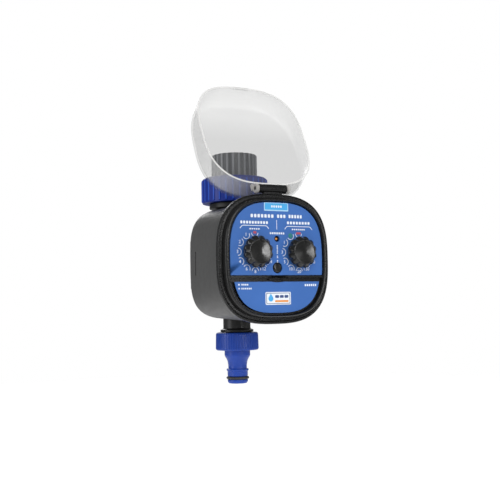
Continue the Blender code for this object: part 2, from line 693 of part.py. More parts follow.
def inlet_adaptor():
    shape = [(TAP_BORE_R, 0), (ADAPTOR_R - 0.4 * MM, 0), (ADAPTOR_R, -0.4 * MM), (ADAPTOR_R, -ADAPTOR_H),
             (15.7 * MM, -ADAPTOR_H), (15.7 * MM, -27.2 * MM), (9.5 * MM, -27.2 * MM), (9.5 * MM, -15.0 * MM),
             (TAP_BORE_R, -13.5 * MM)]
    node("inlet_adaptor", turned_mesh(shape, closed=True), ADAPTOR_GREY, 0.5)


def inlet_nut():
    shape = [(16.0 * MM, NUT_TOP), (22.6 * MM, NUT_TOP), (NUT_R, NUT_TOP - 1.8 * MM), (NUT_R, NUT_BOTTOM),
             (14.1 * MM, NUT_BOTTOM), (14.1 * MM, -33.3 * MM), (16.0 * MM, -33.3 * MM)]
    node("inlet_nut", turned_mesh(shape, closed=True), BLUE, 0.35)
    washer = [(15.6 * MM, -27.5 * MM), (15.6 * MM, -30.2 * MM), (9.6 * MM, -30.2 * MM), (9.6 * MM, -27.5 * MM)]
    node("inlet_washer", turned_mesh(washer, 28, closed=True), RUBBER, 0.8)
    # domed strainer cup hanging in the neck by its brim
    cup = [(0, -41.0 * MM), (2.7 * MM, -40.3 * MM), (4.3 * MM, -38.2 * MM), (4.9 * MM, -28.8 * MM),
           (8.6 * MM, -28.8 * MM), (8.6 * MM, -30.2 * MM), (5.6 * MM, -30.2 * MM), (5.0 * MM, -38.5 * MM),
           (3.2 * MM, -41.0 * MM), (0, -41.8 * MM)]
    node("inlet_strainer", turned_mesh(cup, 24), STEEL, 0.4, 0.8)


def valve_body():
    outer = [(7.4 * MM, -30.5 * MM), (15.4 * MM, -30.5 * MM), (15.4 * MM, -33.0 * MM), (13.7 * MM, -33.0 * MM),
             (13.7 * MM, COLLAR_TOP), (COLLAR_R, COLLAR_TOP), (COLLAR_R, -39.8 * MM), (BODY_R, -40.4 * MM),
             (BODY_R, BODY_BOTTOM), (10.4 * MM, BODY_BOTTOM), (10.4 * MM, -69.5 * MM), (6.6 * MM, -69.5 * MM),
             (6.6 * MM, -32.0 * MM)]
    body = node("valve_body", turned_mesh(outer, STEPS, closed=True), BLACK, 0.45)
    boss = rod_mesh(6.0 * MM, 9.0 * MM, 20.4 * MM)
    join(body, cutter(boss, (0, 0, BALL_Z), FRONT))
    cut(body, cutter(rod_mesh(9.9 * MM, -12 * MM, 10.2 * MM, 32), (0, 0, BALL_Z), FRONT))
    cut(body, cutter(rod_mesh(2.7 * MM, 0, 30 * MM), (0, 0, BALL_Z), FRONT))
    cut(body, cutter(rod_mesh(4.4 * MM, 17.2 * MM, 30 * MM), (0, 0, BALL_Z), FRONT))


def ball_and_seats():
    place = (0, 0, BALL_Z)
    bm = bmesh.new()
    bmesh.ops.create_uvsphere(bm, u_segments=20, v_segments=12, radius=BALL_R)
    ball = node("valve_ball", bm_mesh(bm, "ball"), WHITE, 0.2, place=place, turn=FRONT)
    port = rod_mesh(PORT_R, -12 * MM, 12 * MM)
    # at rest the valve is shut: the port lies across the pipe
    cut(ball, cutter(port, place, SIDE))
    slot = box_mesh((-3.2 * MM, -1.3 * MM, 6.2 * MM), (3.2 * MM, 1.3 * MM, 10 * MM))
    cut(ball, cutter(slot, place, FRONT))
    for name, sign in (("upper_seat", 1), ("lower_seat", -1)):
        near = BALL_R * 0.62
        wide = BALL_R * 0.80
        profile = [(10.1 * MM, sign * 10.2 * MM), (10.1 * MM, sign * 5.4 * MM),
                   (wide + 0.3 * MM, sign * (5.4 * MM)), (near + 0.3 * MM, sign * (6.95 * MM)),
                   (near + 0.3 * MM, sign * 10.2 * MM)]
        if sign < 0:
            profile.reverse()
        node(name, turned_mesh(profile, 24, closed=True), WHITE, 0.3, place=place)
    stem = [(0, 26.6 * MM), (2.4 * MM, 26.6 * MM), (2.4 * MM, 9.2 * MM), (0, 9.2 * MM)]
    spindle = node("valve_stem", turned_mesh(stem), BRASS, 0.3, 0.9, place, FRONT)
    tongue = box_mesh((-2.6 * MM, -1.0 * MM, 6.6 * MM), (2.6 * MM, 1.0 * MM, 9.6 * MM))
    join(spindle, cutter(tongue, place, FRONT))
    ring = [(4.1 * MM, 19.9 * MM), (4.1 * MM, 17.6 * MM), (2.7 * MM, 17.6 * MM), (2.7 * MM, 19.9 * MM)]
    node("stem_seal", turned_mesh(ring, 16, closed=True), RUBBER, 0.7, place=place, turn=FRONT)


def outlet_tailpiece():
    flange_top, flange_low = OUTLET_FLANGE
    outer = [(5.4 * MM, -91.0 * MM), (9.9 * MM, -91.0 * MM), (9.9 * MM, -95.3 * MM), (BODY_R, -95.3 * MM),
             (BODY_R, -98.5 * MM), (OUTLET_NECK_R, -99.5 * MM), (OUTLET_NECK_R, flange_top),
             (12.0 * MM, flange_top), (12.0 * MM, flange_low), (11.2 * MM, flange_low),
             (11.2 * MM, -130.4 * MM), (OUTLET_THREAD_R, -131.0 * MM), (OUTLET_THREAD_R, -138.2 * MM),
             (5.4 * MM, -138.2 * MM)]
    node("outlet_tailpiece", turned_mesh(outer, 28, closed=True), BLACK, 0.45)


def outlet_connector():
    thread = OUTLET_THREAD_R + GAP
    shape = [(thread, CONNECTOR_TOP), (14.4 * MM, CONNECTOR_TOP), (15.2 * MM, -130.6 * MM),
             (CONNECTOR_R, -141.0 * MM), (15.2 * MM, -142.4 * MM), (9.3 * MM, -142.4 * MM),
             (9.3 * MM, -146.8 * MM), (7.1 * MM, -151.0 * MM), (6.7 * MM, -155.6 * MM),
             (8.0 * MM, -156.0 * MM), (8.0 * MM, -157.2 * MM), (7.35 * MM, -157.6 * MM),
             (7.35 * MM, -161.2 * MM), (6.5 * MM, -161.3 * MM), (6.5 * MM, -163.6 * MM),
             (7.35 * MM, -163.7 * MM), (7.35 * MM, -165.2 * MM), (6.4 * MM, SPIGOT_END),
             (SPIGOT_BORE_R, SPIGOT_END), (SPIGOT_BORE_R, -141.0 * MM), (thread, -141.0 * MM)]
    node("outlet_connector", turned_mesh(shape, closed=True), BLUE, 0.35)
    washer = [(12.9 * MM, -138.5 * MM), (12.9 * MM, -140.7 * MM), (5.6 * MM, -140.7 * MM),
              (5.6 * MM, -138.5 * MM)]
    node("outlet_washer", turned_mesh(washer, 28, closed=True), RUBBER, 0.8)
    ring = []
    for i in range(6):
        t = 2 * math.pi * i / 6
        ring.append(((7.3 + 0.55 * math.cos(t)) * MM, (-162.45 - 0.85 * math.sin(t)) * MM))
    node("connector_seal", turned_mesh(ring, 28, closed=True), RUBBER, 0.6)


# ---- drive --------------------------------------------------------------

def involute_gear(teeth):
    """Outline of a spur gear with involute flanks and a little backlash."""
    pitch = MODULE * teeth / 2
    tip = pitch + 0.85 * MODULE
    root = pitch - 1.15 * MODULE
    base = pitch * math.cos(PRESSURE)

    def roll(radius):
        grow = math.acos(min(1.0, base / radius))
        return math.tan(grow) - grow

    half = math.pi / 2 / teeth + roll(pitch) - 0.07 * MM / pitch
    points = []
    for tooth in range(teeth):
        middle = 2 * math.pi * tooth / teeth
        points.extend((r, middle - half + roll(r)) for r in (root, tip))
        points.extend((r, middle + half - roll(r)) for r in (tip, root))
    return [(r * math.cos(t), r * math.sin(t)) for r, t in points]


def step_to(place, distance, degrees):
    t = math.radians(degrees)
    return (place[0] + distance * math.cos(t), place[1] + distance * math.sin(t))


def mesh_phase(teeth, mate_teeth, degrees, mate_phase):
    """Turn of a gear that puts a gap opposite its mate's tooth. degrees is the
    direction from the mate to this gear."""
    line = math.radians(degrees)
    at_mate = (line - mate_phase) * mate_teeth / (2 * math.pi)
    share = at_mate - math.floor(at_mate)
    return line + math.pi - (0.5 - share) * 2 * math.pi / teeth


PINION_R = MODULE * PINION_TEETH / 2
WHEEL_R = MODULE * WHEEL_TEETH / 2
OUTPUT_R = MODULE * OUTPUT_TEETH / 2
STEM_AT = (0.0, BALL_Z)
SECOND_AT = step_to(STEM_AT, OUTPUT_R + PINION_R + 0.05 * MM, STEM_ANGLE)
FIRST_AT = step_to(SECOND_AT, WHEEL_R + PINION_R + 0.05 * MM, IDLER_ANGLE)
MOTOR_AT = step_to(FIRST_AT, WHEEL_R + PINION_R + 0.05 * MM, MOTOR_ANGLE)
GEARBOX_POSTS = [(-12.3 * MM, -69.8 * MM), (17.0 * MM, -88.6 * MM)]
PLATE_CORNERS = [(-15.3, -62.0), (-9.0, -55.0), (8.0, -55.0), (19.0, -62.5), (19.6, -69.4), (27.8, -71.0),
                 (27.8, -84.8), (23.5, -86.8), (19.4, -90.2), (16.5, -92.2), (4.0, -94.4), (-10.0, -91.0),
                 (-15.3, -82.0)]
PLATE_OUTLINE = [(x * MM, z * MM) for x, z in PLATE_CORNERS]


def gear_slab(teeth, bore, layer, phase, reach=0.0):
    outline = involute_gear(teeth)
    low = -GEAR_LAYERS[layer] - GEAR_THICK / 2
    mesh = slab_mesh([outline, circle(bore, steps=12)], low - reach, low + GEAR_THICK)
    mesh.transform(Matrix.Rotation(phase, 4, "Z"))
    return mesh


def compound(name, at, wheel_layer, pinion_layer, wheel_phase, pinion_phase):
    """A wheel and a smaller pinion moulded in one, on its axle pin."""
    place = (at[0], 0, at[1])
    gear = node(name, gear_slab(WHEEL_TEETH, 1.5 * MM, wheel_layer, wheel_phase), WHITE, 0.4,
                place=place, turn=FRONT)
    join(gear, cutter(gear_slab(PINION_TEETH, 1.5 * MM, pinion_layer, pinion_phase), place, FRONT))
    middle = -(GEAR_LAYERS[wheel_layer] + GEAR_LAYERS[pinion_layer]) / 2
    collar = slab_mesh([circle(2.9 * MM), circle(1.5 * MM, steps=12)], middle - 0.6 * MM, middle + 0.6 * MM)
    join(gear, cutter(collar, place, FRONT))
    axle = rod_mesh(1.4 * MM, 22.9 * MM, 35.6 * MM, 16)
    node(name + "_axle", axle, STEEL, 0.3, 0.9, place, FRONT)


def drive_train():
    output_phase = 0.0
    second_pinion = mesh_phase(PINION_TEETH, OUTPUT_TEETH, STEM_ANGLE, output_phase)
    second_wheel = 0.0
    first_pinion = mesh_phase(PINION_TEETH, WHEEL_TEETH, IDLER_ANGLE, second_wheel)
    first_wheel = 0.0
    motor_phase = mesh_phase(PINION_TEETH, WHEEL_TEETH, MOTOR_ANGLE, first_wheel)
    place = (0, 0, BALL_Z)
    node("output_gear", gear_slab(OUTPUT_TEETH, 2.6 * MM, 0, output_phase), WHITE, 0.4, place=place, turn=FRONT)
    compound("second_gear", SECOND_AT, 1, 0, second_wheel, second_pinion)
    compound("first_gear", FIRST_AT, 2, 1, first_wheel, first_pinion)
    spot = (MOTOR_AT[0], 0, MOTOR_AT[1])
    node("motor_pinion", gear_slab(PINION_TEETH, 1.3 * MM, 2, motor_phase), BRASS, 0.3, 0.9, spot, FRONT)
    node("motor_shaft", rod_mesh(1.0 * MM, 20.4 * MM, 34.2 * MM, 16), STEEL, 0.3, 0.9, spot, FRONT)
    can = [(0, 21.0 * MM), (2.4 * MM, 21.0 * MM), (2.4 * MM, 20.0 * MM), (6.4 * MM, 20.0 * MM),
           (6.4 * MM, 2.0 * MM), (0, 2.0 * MM)]
    motor = node("motor", turned_mesh(can, 20), STEEL, 0.3, 0.9, spot, FRONT)
    cut(motor, cutter(rod_mesh(1.2 * MM, 19.9 * MM, 25 * MM, 16), spot, FRONT))


def gearbox():
    """Two plates that carry the axles, joined by posts."""
    base = node("gearbox_base", slab_mesh([PLATE_OUTLINE], 21.2 * MM, 22.7 * MM), BLACK, 0.5, turn=FRONT)
    cover = node("gearbox_cover", slab_mesh([PLATE_OUTLINE], 35.0 * MM, 36.5 * MM), GREY, 0.5, turn=FRONT)
    for spot in GEARBOX_POSTS:
        place = (spot[0], 0, spot[1])
        join(base, cutter(rod_mesh(2.4 * MM, 21.2 * MM, 34.7 * MM, 12), place, FRONT))
        cut(base, cutter(rod_mesh(1.2 * MM, 24 * MM, 40 * MM, 10), place, FRONT))
        cut(cover, cutter(rod_mesh(1.3 * MM, 30 * MM, 40 * MM, 10), place, FRONT))
    for index, spot in enumerate(GEARBOX_POSTS):
        shape = [(0, 38.1 * MM), (1.9 * MM, 38.1 * MM), (1.9 * MM, 36.8 * MM), (1.0 * MM, 36.8 * MM),
                 (1.0 * MM, 26 * MM), (0, 26 * MM)]
        node("gearbox_screw_%d" % (index + 1), turned_mesh(shape, 12), STEEL, 0.3, 0.9,
             (spot[0], 0, spot[1]), FRONT)
    cut(base, cutter(rod_mesh(2.7 * MM, 10 * MM, 30 * MM), (0, 0, BALL_Z), FRONT))
    cut(base, cutter(rod_mesh(2.7 * MM, 10 * MM, 30 * MM), (MOTOR_AT[0], 0, MOTOR_AT[1]), FRONT))
    for at in (SECOND_AT, FIRST_AT):
        cut(cover, cutter(rod_mesh(1.7 * MM, 30 * MM, 40 * MM, 16), (at[0], 0, at[1]), FRONT))


# ---- build --------------------------------------------------------------

rear_housing()
back_plate()
front_bezel()
face_seal()
face_panel()
battery_door()
lid()
dial("frequency", -KNOB_X)
dial("duration", KNOB_X)
button()
circuit_board()
battery_tray()
case_screws()
inlet_adaptor()
inlet_nut()
valve_body()
ball_and_seats()
outlet_tailpiece()
outlet_connector()
drive_train()
gearbox()
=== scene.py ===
"""Looks of the drip irrigation timer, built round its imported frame.

Shapes are worked out in millimetres, in the frame's own axes: +Z up, +X to the
right seen from the front, -Y towards the user. MM turns them into metres when
a mesh is made. Each piece stands for the CAD node that it is named in.
"""
import math

import bmesh
import bpy
from mathutils import Matrix, Vector


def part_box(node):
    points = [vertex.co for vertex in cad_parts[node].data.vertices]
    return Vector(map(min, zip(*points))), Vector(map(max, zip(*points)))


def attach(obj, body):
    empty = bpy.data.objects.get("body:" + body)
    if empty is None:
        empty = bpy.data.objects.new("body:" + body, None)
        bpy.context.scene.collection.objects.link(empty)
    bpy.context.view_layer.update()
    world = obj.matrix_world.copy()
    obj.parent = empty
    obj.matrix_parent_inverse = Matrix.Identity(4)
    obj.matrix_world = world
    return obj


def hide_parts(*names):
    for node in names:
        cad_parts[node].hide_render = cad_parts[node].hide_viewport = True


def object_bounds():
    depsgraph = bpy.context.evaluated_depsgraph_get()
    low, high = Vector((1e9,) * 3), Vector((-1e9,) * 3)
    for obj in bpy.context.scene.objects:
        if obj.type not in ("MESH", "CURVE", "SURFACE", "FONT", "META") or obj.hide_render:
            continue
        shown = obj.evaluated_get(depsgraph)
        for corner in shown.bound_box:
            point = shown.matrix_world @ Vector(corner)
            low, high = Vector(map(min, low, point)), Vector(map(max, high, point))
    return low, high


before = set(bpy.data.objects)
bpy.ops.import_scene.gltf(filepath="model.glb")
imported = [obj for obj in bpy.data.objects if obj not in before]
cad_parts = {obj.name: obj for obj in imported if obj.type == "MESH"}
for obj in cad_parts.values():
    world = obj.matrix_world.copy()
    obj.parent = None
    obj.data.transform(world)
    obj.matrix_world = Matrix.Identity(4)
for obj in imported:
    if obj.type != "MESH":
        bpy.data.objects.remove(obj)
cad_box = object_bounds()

MM = 0.001
FINE = 168                # points round the case outlines
ROUND = 96                # points round a plain turned piece
OUTLINE_POWER = 2.9       # superellipse power of the case, bezel and lid


def extent(node):
    """Lowest and highest corner of a CAD node, in millimetres."""
    low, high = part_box(node)
    return low / MM, high / MM


def centre(node):
    low, high = extent(node)
    return (low + high) / 2


# ---- driving places, from the frame ---------------------------------------

FACE_Y = extent("face_panel")[0].y
KNOBS = {name: centre(name + "_knob") for name in ("frequency", "duration")}
BUTTON = centre("manual_button")
LAMP = centre("status_led")
HINGE = centre("hinge_pin")
PANEL_LOW, PANEL_HIGH = extent("face_panel")
DOOR_HIGH = extent("battery_door")[1]
PLATE_LOW, PLATE_HIGH = extent("back_plate")
NUT_LOW, NUT_HIGH = extent("inlet_nut")
ADAPTOR_HIGH = extent("inlet_adaptor")[1]
SPIGOT_LOW, SPIGOT_HIGH = extent("outlet_connector")

FLOOR_FRONT = -58.4       # the bezel's floor, behind the label plates
FLOOR_BACK = -56.4
FLANGE_BACK = -53.8
BEZEL_Z = -79.0
GROOVE_Z = -78.4
RECESS = (35.9, 38.05, -78.75)
HOUSE_Z = -80.7
LID_OPEN = math.radians(206.5)
SCREW_X = 24.0
SCREW_Z = (-64.6, -92.6)

TO_FRONT = Matrix.Rotation(math.pi / 2, 4, "X")     # local +Z to the front, -Y
TO_RIGHT = Matrix.Rotation(math.pi / 2, 4, "Y")     # local +Z to the right, +X


def facing(x, z):
    """Placement of a shape drawn flat, local +Z towards the user, at x and z."""
    return Matrix.Translation((x, 0, z)) @ TO_FRONT


# ---- materials --------------------------------------------------------------

class Nodes:
    """A material's node tree, with short calls for the nodes used here."""

    def __init__(self, name):
        self.material = bpy.data.materials.new(name)
        self.material.use_nodes = True
        self.tree = self.material.node_tree
        self.shader = self.tree.nodes["Principled BSDF"]
        self.place = self.add("ShaderNodeTexCoord").outputs["Object"]

    def add(self, kind, **settings):
        made = self.tree.nodes.new(kind)
        for key, value in settings.items():
            setattr(made, key, value)
        return made

    def link(self, source, target):
        self.tree.links.new(source, target)

    def noise(self, scale, detail=2.0, stretch=None):
        """Noise with features of about 1/scale metres, perhaps drawn out along an axis."""
        made = self.add("ShaderNodeTexNoise")
        made.inputs["Scale"].default_value = scale
        made.inputs["Detail"].default_value = detail
        place = self.place
        if stretch:
            mapping = self.add("ShaderNodeMapping")
            mapping.inputs["Scale"].default_value = stretch
            self.link(place, mapping.inputs["Vector"])
            place = mapping.outputs["Vector"]
        self.link(place, made.inputs["Vector"])
        return made.outputs["Fac"]

    def spread(self, value, low, high, start=0.3, end=0.7):
        """A noise value stretched to run from low to high."""
        made = self.add("ShaderNodeMapRange")
        for key, number in (("From Min", start), ("From Max", end), ("To Min", low), ("To Max", high)):
            made.inputs[key].default_value = number
        self.link(value, made.inputs["Value"])
        return made.outputs["Result"]

    def tint(self, value, one, two):
        """A colour between two, by a value from 0 to 1."""
        made = self.add("ShaderNodeMix", data_type="RGBA")
        made.inputs["A"].default_value = (*one, 1)
        made.inputs["B"].default_value = (*two, 1)
        self.link(value, made.inputs["Factor"])
        return made.outputs["Result"]

    def bump(self, height, distance, strength=1.0, over=None):
        made = self.add("ShaderNodeBump")
        made.inputs["Distance"].default_value = distance
        made.inputs["Strength"].default_value = strength
        self.link(height, made.inputs["Height"])
        if over is not None:
            self.link(over, made.inputs["Normal"])
        return made.outputs["Normal"]

    def set(self, **values):
        for key, value in values.items():
            self.shader.inputs[key.replace("_", " ")].default_value = value


def shaded(colour, share):
    return tuple(channel * share for channel in colour)


def moulded(name, colour, rough, grain=0.012, pitch=2600.0, vary=0.08, smudge=0.06, gloss=0.5):
    """Injection-moulded plastic: a fine surface grain, slight flow marks in the
    colour, and faint handling marks in the gloss. grain is in millimetres."""
    n = Nodes(name)
    flow = n.spread(n.noise(60.0, 3.0, (1, 1, 0.35)), 0, 1)
    n.link(n.tint(flow, shaded(colour, 1 - vary), shaded(colour, 1 + vary)), n.shader.inputs["Base Color"])
    marks = n.noise(240.0, 4.0)
    n.link(n.spread(marks, rough - smudge, rough + smudge), n.shader.inputs["Roughness"])
    fine = n.noise(pitch, 2.0)
    n.link(n.bump(fine, grain * MM), n.shader.inputs["Normal"])
    n.set(Specular_IOR_Level=gloss)
    return n.material


def ribbed(name, valley, crest, inner, outer, rough, gloss):
    """Moulded plastic on a turned, ribbed piece. The crests of the ribs, from
    radius inner to outer in millimetres, carry a painted highlight: they are tinted paler than the valleys."""
    n = Nodes(name)
    flat = n.add("ShaderNodeVectorMath", operation="MULTIPLY")
    flat.inputs[1].default_value = (1, 1, 0)
    n.link(n.place, flat.inputs[0])
    radius = n.add("ShaderNodeVectorMath", operation="LENGTH")
    n.link(flat.outputs["Vector"], radius.inputs[0])
    # painted highlight: the rib crests are tinted paler than the valleys, made patchy by a noise
    crest_highlight = n.spread(radius.outputs["Value"], 0, 1, inner * MM, outer * MM)
    uneven = n.add("ShaderNodeMath", operation="MULTIPLY")
    n.link(crest_highlight, uneven.inputs[0])
    n.link(n.spread(n.noise(320.0, 3.0, (1, 1, 0.3)), 0.7, 1.0), uneven.inputs[1])
    n.link(n.tint(uneven.outputs["Value"], valley, crest), n.shader.inputs["Base Color"])
    n.link(n.spread(n.noise(240.0, 4.0), rough - 0.04, rough + 0.06), n.shader.inputs["Roughness"])
    n.link(n.bump(n.noise(1500.0, 2.0), 0.006 * MM), n.shader.inputs["Normal"])
    n.set(Specular_IOR_Level=gloss)
    return n.material


def turned_gloss(name, colour, rough):
    """Glossy plastic with faint marks in its colour and gloss."""
    n = Nodes(name)
    smear = n.spread(n.noise(180.0, 3.0), 0, 1)
    n.link(n.tint(smear, shaded(colour, 0.85), shaded(colour, 1.2)), n.shader.inputs["Base Color"])
    n.link(n.spread(n.noise(420.0, 3.0), rough - 0.02, rough + 0.04), n.shader.inputs["Roughness"])
    n.link(n.bump(n.noise(1500.0, 2.0), 0.0012 * MM), n.shader.inputs["Normal"])
    n.set(Specular_IOR_Level=0.5)
    return n.material


def label_sheet(name, colour):
    """Printed polycarbonate film with a very fine matt texture."""
    n = Nodes(name)
    dye = n.spread(n.noise(35.0, 2.0), 0, 1)
    n.link(n.tint(dye, shaded(colour, 0.96), shaded(colour, 1.05)), n.shader.inputs["Base Color"])
    n.link(n.spread(n.noise(300.0, 3.0), 0.5, 0.6), n.shader.inputs["Roughness"])
    n.link(n.bump(n.noise(5200.0, 1.0), 0.003 * MM), n.shader.inputs["Normal"])
    n.set(Specular_IOR_Level=0.25)
    return n.material


def ink(name, colour):
    """Screen-printed ink, a little uneven in cover."""
    n = Nodes(name)
    cover = n.spread(n.noise(1800.0, 3.0), 0, 1)
    n.link(n.tint(cover, shaded(colour, 0.9), colour), n.shader.inputs["Base Color"])
    n.link(n.spread(n.noise(900.0, 2.0), 0.4, 0.55), n.shader.inputs["Roughness"])
    n.link(n.bump(cover, 0.004 * MM), n.shader.inputs["Normal"])
    return n.material


def frosted(name, colour, cover):
    """Frosted clear plastic: part of the light passes straight through, the
    rest scatters. cover is the share that scatters at each face."""
    n = Nodes(name)
    haze = n.spread(n.noise(45.0, 3.0), 0, 1)
    n.link(n.tint(haze, shaded(colour, 0.97), shaded(colour, 1.02)), n.shader.inputs["Base Color"])
    n.link(n.spread(n.noise(260.0, 3.0), 0.24, 0.36), n.shader.inputs["Roughness"])
    n.link(n.bump(n.noise(1600.0, 2.0), 0.006 * MM), n.shader.inputs["Normal"])
    n.set(Alpha=cover, Specular_IOR_Level=0.45)
    return n.material


def lid_plastic(name):
    """Lightly frosted clear plastic. The crown lets most light straight through,
    the walls scatter more of it, and the end of the wall shows nearly white."""
    n = Nodes(name)
    from_hinge = n.add("ShaderNodeVectorMath", operation="SUBTRACT")
    from_hinge.inputs[1].default_value = HINGE * MM
    n.link(n.place, from_hinge.inputs[0])
    depth = n.add("ShaderNodeVectorMath", operation="DOT_PRODUCT")
    depth.inputs[1].default_value = (0, -math.cos(LID_OPEN), math.sin(LID_OPEN))
    n.link(from_hinge.outputs["Vector"], depth.inputs[0])
    crown = n.spread(depth.outputs["Value"], 0, 1, 15.8 * MM, 16.6 * MM)
    rim = n.spread(depth.outputs["Value"], 0.6, 0, 2.25 * MM, 2.5 * MM)
    # Where the wall is seen edge-on it turns whiter and more opaque: partly the longer path through the
    # frosted wall, partly a painted white outline highlight.
    skim = n.add("ShaderNodeLayerWeight")
    skim.inputs["Blend"].default_value = 0.18
    haze = n.spread(n.noise(45.0, 3.0), 0, 1)
    wall = n.tint(haze, (0.66, 0.66, 0.65), (0.72, 0.72, 0.70))
    edge = n.spread(skim.outputs["Facing"], 0, 0.7, 0.6, 0.95)
    base = wall
    layers = [(crown, (0.17, 0.17, 0.165, 1)), (edge, (0.95, 0.95, 0.93, 1)), (rim, (0.9, 0.89, 0.87, 1))]
    for share, colour in layers:
        shades = n.add("ShaderNodeMix", data_type="RGBA")
        shades.inputs["B"].default_value = colour
        n.link(base, shades.inputs["A"])
        n.link(share, shades.inputs["Factor"])
        base = shades.outputs["Result"]
    n.link(base, n.shader.inputs["Base Color"])
    cover = n.spread(crown, 0.24, 0.21, 0, 1)
    for extra in (edge, rim):
        total = n.add("ShaderNodeMath", operation="ADD", use_clamp=True)
        n.link(cover, total.inputs[0])
        n.link(extra, total.inputs[1])
        cover = total.outputs["Value"]
    n.link(cover, n.shader.inputs["Alpha"])
    n.link(n.spread(n.noise(260.0, 3.0), 0.20, 0.32), n.shader.inputs["Roughness"])
    n.link(n.bump(n.noise(1600.0, 2.0), 0.005 * MM), n.shader.inputs["Normal"])
    n.set(Specular_IOR_Level=0.35)
    return n.material


def metal(name, colour, rough, stretch=(1, 1, 1)):
    """Plated or machined metal with fine drawn marks."""
    n = Nodes(name)
    stain = n.spread(n.noise(200.0, 4.0), 0, 1)
    n.link(n.tint(stain, shaded(colour, 0.85), shaded(colour, 1.1)), n.shader.inputs["Base Color"])
    marks = n.noise(1800.0, 2.0, stretch)
    n.link(n.spread(marks, rough - 0.08, rough + 0.1), n.shader.inputs["Roughness"])
    n.link(n.bump(marks, 0.004 * MM), n.shader.inputs["Normal"])
    n.set(Metallic=1.0)
    return n.material


def rubber(name):
    n = Nodes(name)
    bloom = n.spread(n.noise(400.0, 4.0), 0, 1)
    n.link(n.tint(bloom, (0.012, 0.012, 0.012), (0.03, 0.029, 0.028)), n.shader.inputs["Base Color"])
    n.link(n.spread(n.noise(900.0, 3.0), 0.5, 0.68), n.shader.inputs["Roughness"])
    n.link(n.bump(n.noise(3200.0, 2.0), 0.01 * MM), n.shader.inputs["Normal"])
    return n.material


def board(name):
    """Solder mask over copper tracks, which show as slightly raised lines."""
    n = Nodes(name)
    brick = n.add("ShaderNodeTexBrick", offset=0.35, squash=1.0)
    brick.inputs["Scale"].default_value = 260.0
    brick.inputs["Mortar Size"].default_value = 0.03
    brick.inputs["Color1"].default_value = (0.012, 0.14, 0.055, 1)
    brick.inputs["Color2"].default_value = (0.016, 0.17, 0.07, 1)
    brick.inputs["Mortar"].default_value = (0.05, 0.3, 0.12, 1)
    turn = n.add("ShaderNodeMapping")
    turn.inputs["Rotation"].default_value = (math.pi / 2, 0, 0)
    n.link(n.place, turn.inputs["Vector"])
    n.link(turn.outputs["Vector"], brick.inputs["Vector"])
    n.link(brick.outputs["Color"], n.shader.inputs["Base Color"])
    n.link(n.spread(n.noise(500.0), 0.25, 0.38), n.shader.inputs["Roughness"])
    n.link(n.bump(brick.outputs["Fac"], 0.03 * MM), n.shader.inputs["Normal"])
    return n.material


def battery_wrap(name):
    """A plain two-colour sleeve: dark body, copper end, split along its length."""
    n = Nodes(name)
    split = n.add("ShaderNodeSeparateXYZ")
    n.link(n.place, split.inputs["Vector"])
    band = n.spread(split.outputs["X"], 0, 1, 0.0115, 0.0117)
    n.link(n.tint(band, (0.014, 0.016, 0.022), (0.42, 0.17, 0.05)), n.shader.inputs["Base Color"])
    n.link(n.spread(n.noise(400.0), 0.22, 0.34), n.shader.inputs["Roughness"])
    n.link(n.bump(n.noise(1200.0), 0.006 * MM), n.shader.inputs["Normal"])
    n.set(Metallic=0.35)
    return n.material


def lamp_epoxy(name):
    n = Nodes(name)
    cloud = n.spread(n.noise(900.0, 3.0), 0, 1)
    away = n.add("ShaderNodeVectorMath", operation="SUBTRACT")
    away.inputs[1].default_value = (LAMP.x * MM, 0, LAMP.z * MM)
    n.link(n.place, away.inputs[0])
    flat = n.add("ShaderNodeVectorMath", operation="MULTIPLY")
    flat.inputs[1].default_value = (1, 0, 1)
    n.link(away.outputs["Vector"], flat.inputs[0])
    radius = n.add("ShaderNodeVectorMath", operation="LENGTH")
    n.link(flat.outputs["Vector"], radius.inputs[0])
    # painted glint: a bright amber spot in the middle of the lens, dark amber round it
    painted_glint = n.add("ShaderNodeMix", data_type="RGBA")
    painted_glint.inputs["A"].default_value = (0.80, 0.34, 0.08, 1)
    n.link(n.tint(cloud, (0.05, 0.012, 0.002), (0.09, 0.028, 0.006)), painted_glint.inputs["B"])
    n.link(n.spread(radius.outputs["Value"], 0, 1, 0.45 * MM, 1.0 * MM), painted_glint.inputs["Factor"])
    n.link(painted_glint.outputs["Result"], n.shader.inputs["Base Color"])
    n.link(n.spread(n.noise(700.0), 0.06, 0.14), n.shader.inputs["Roughness"])
    n.set(IOR=1.5)
    return n.material


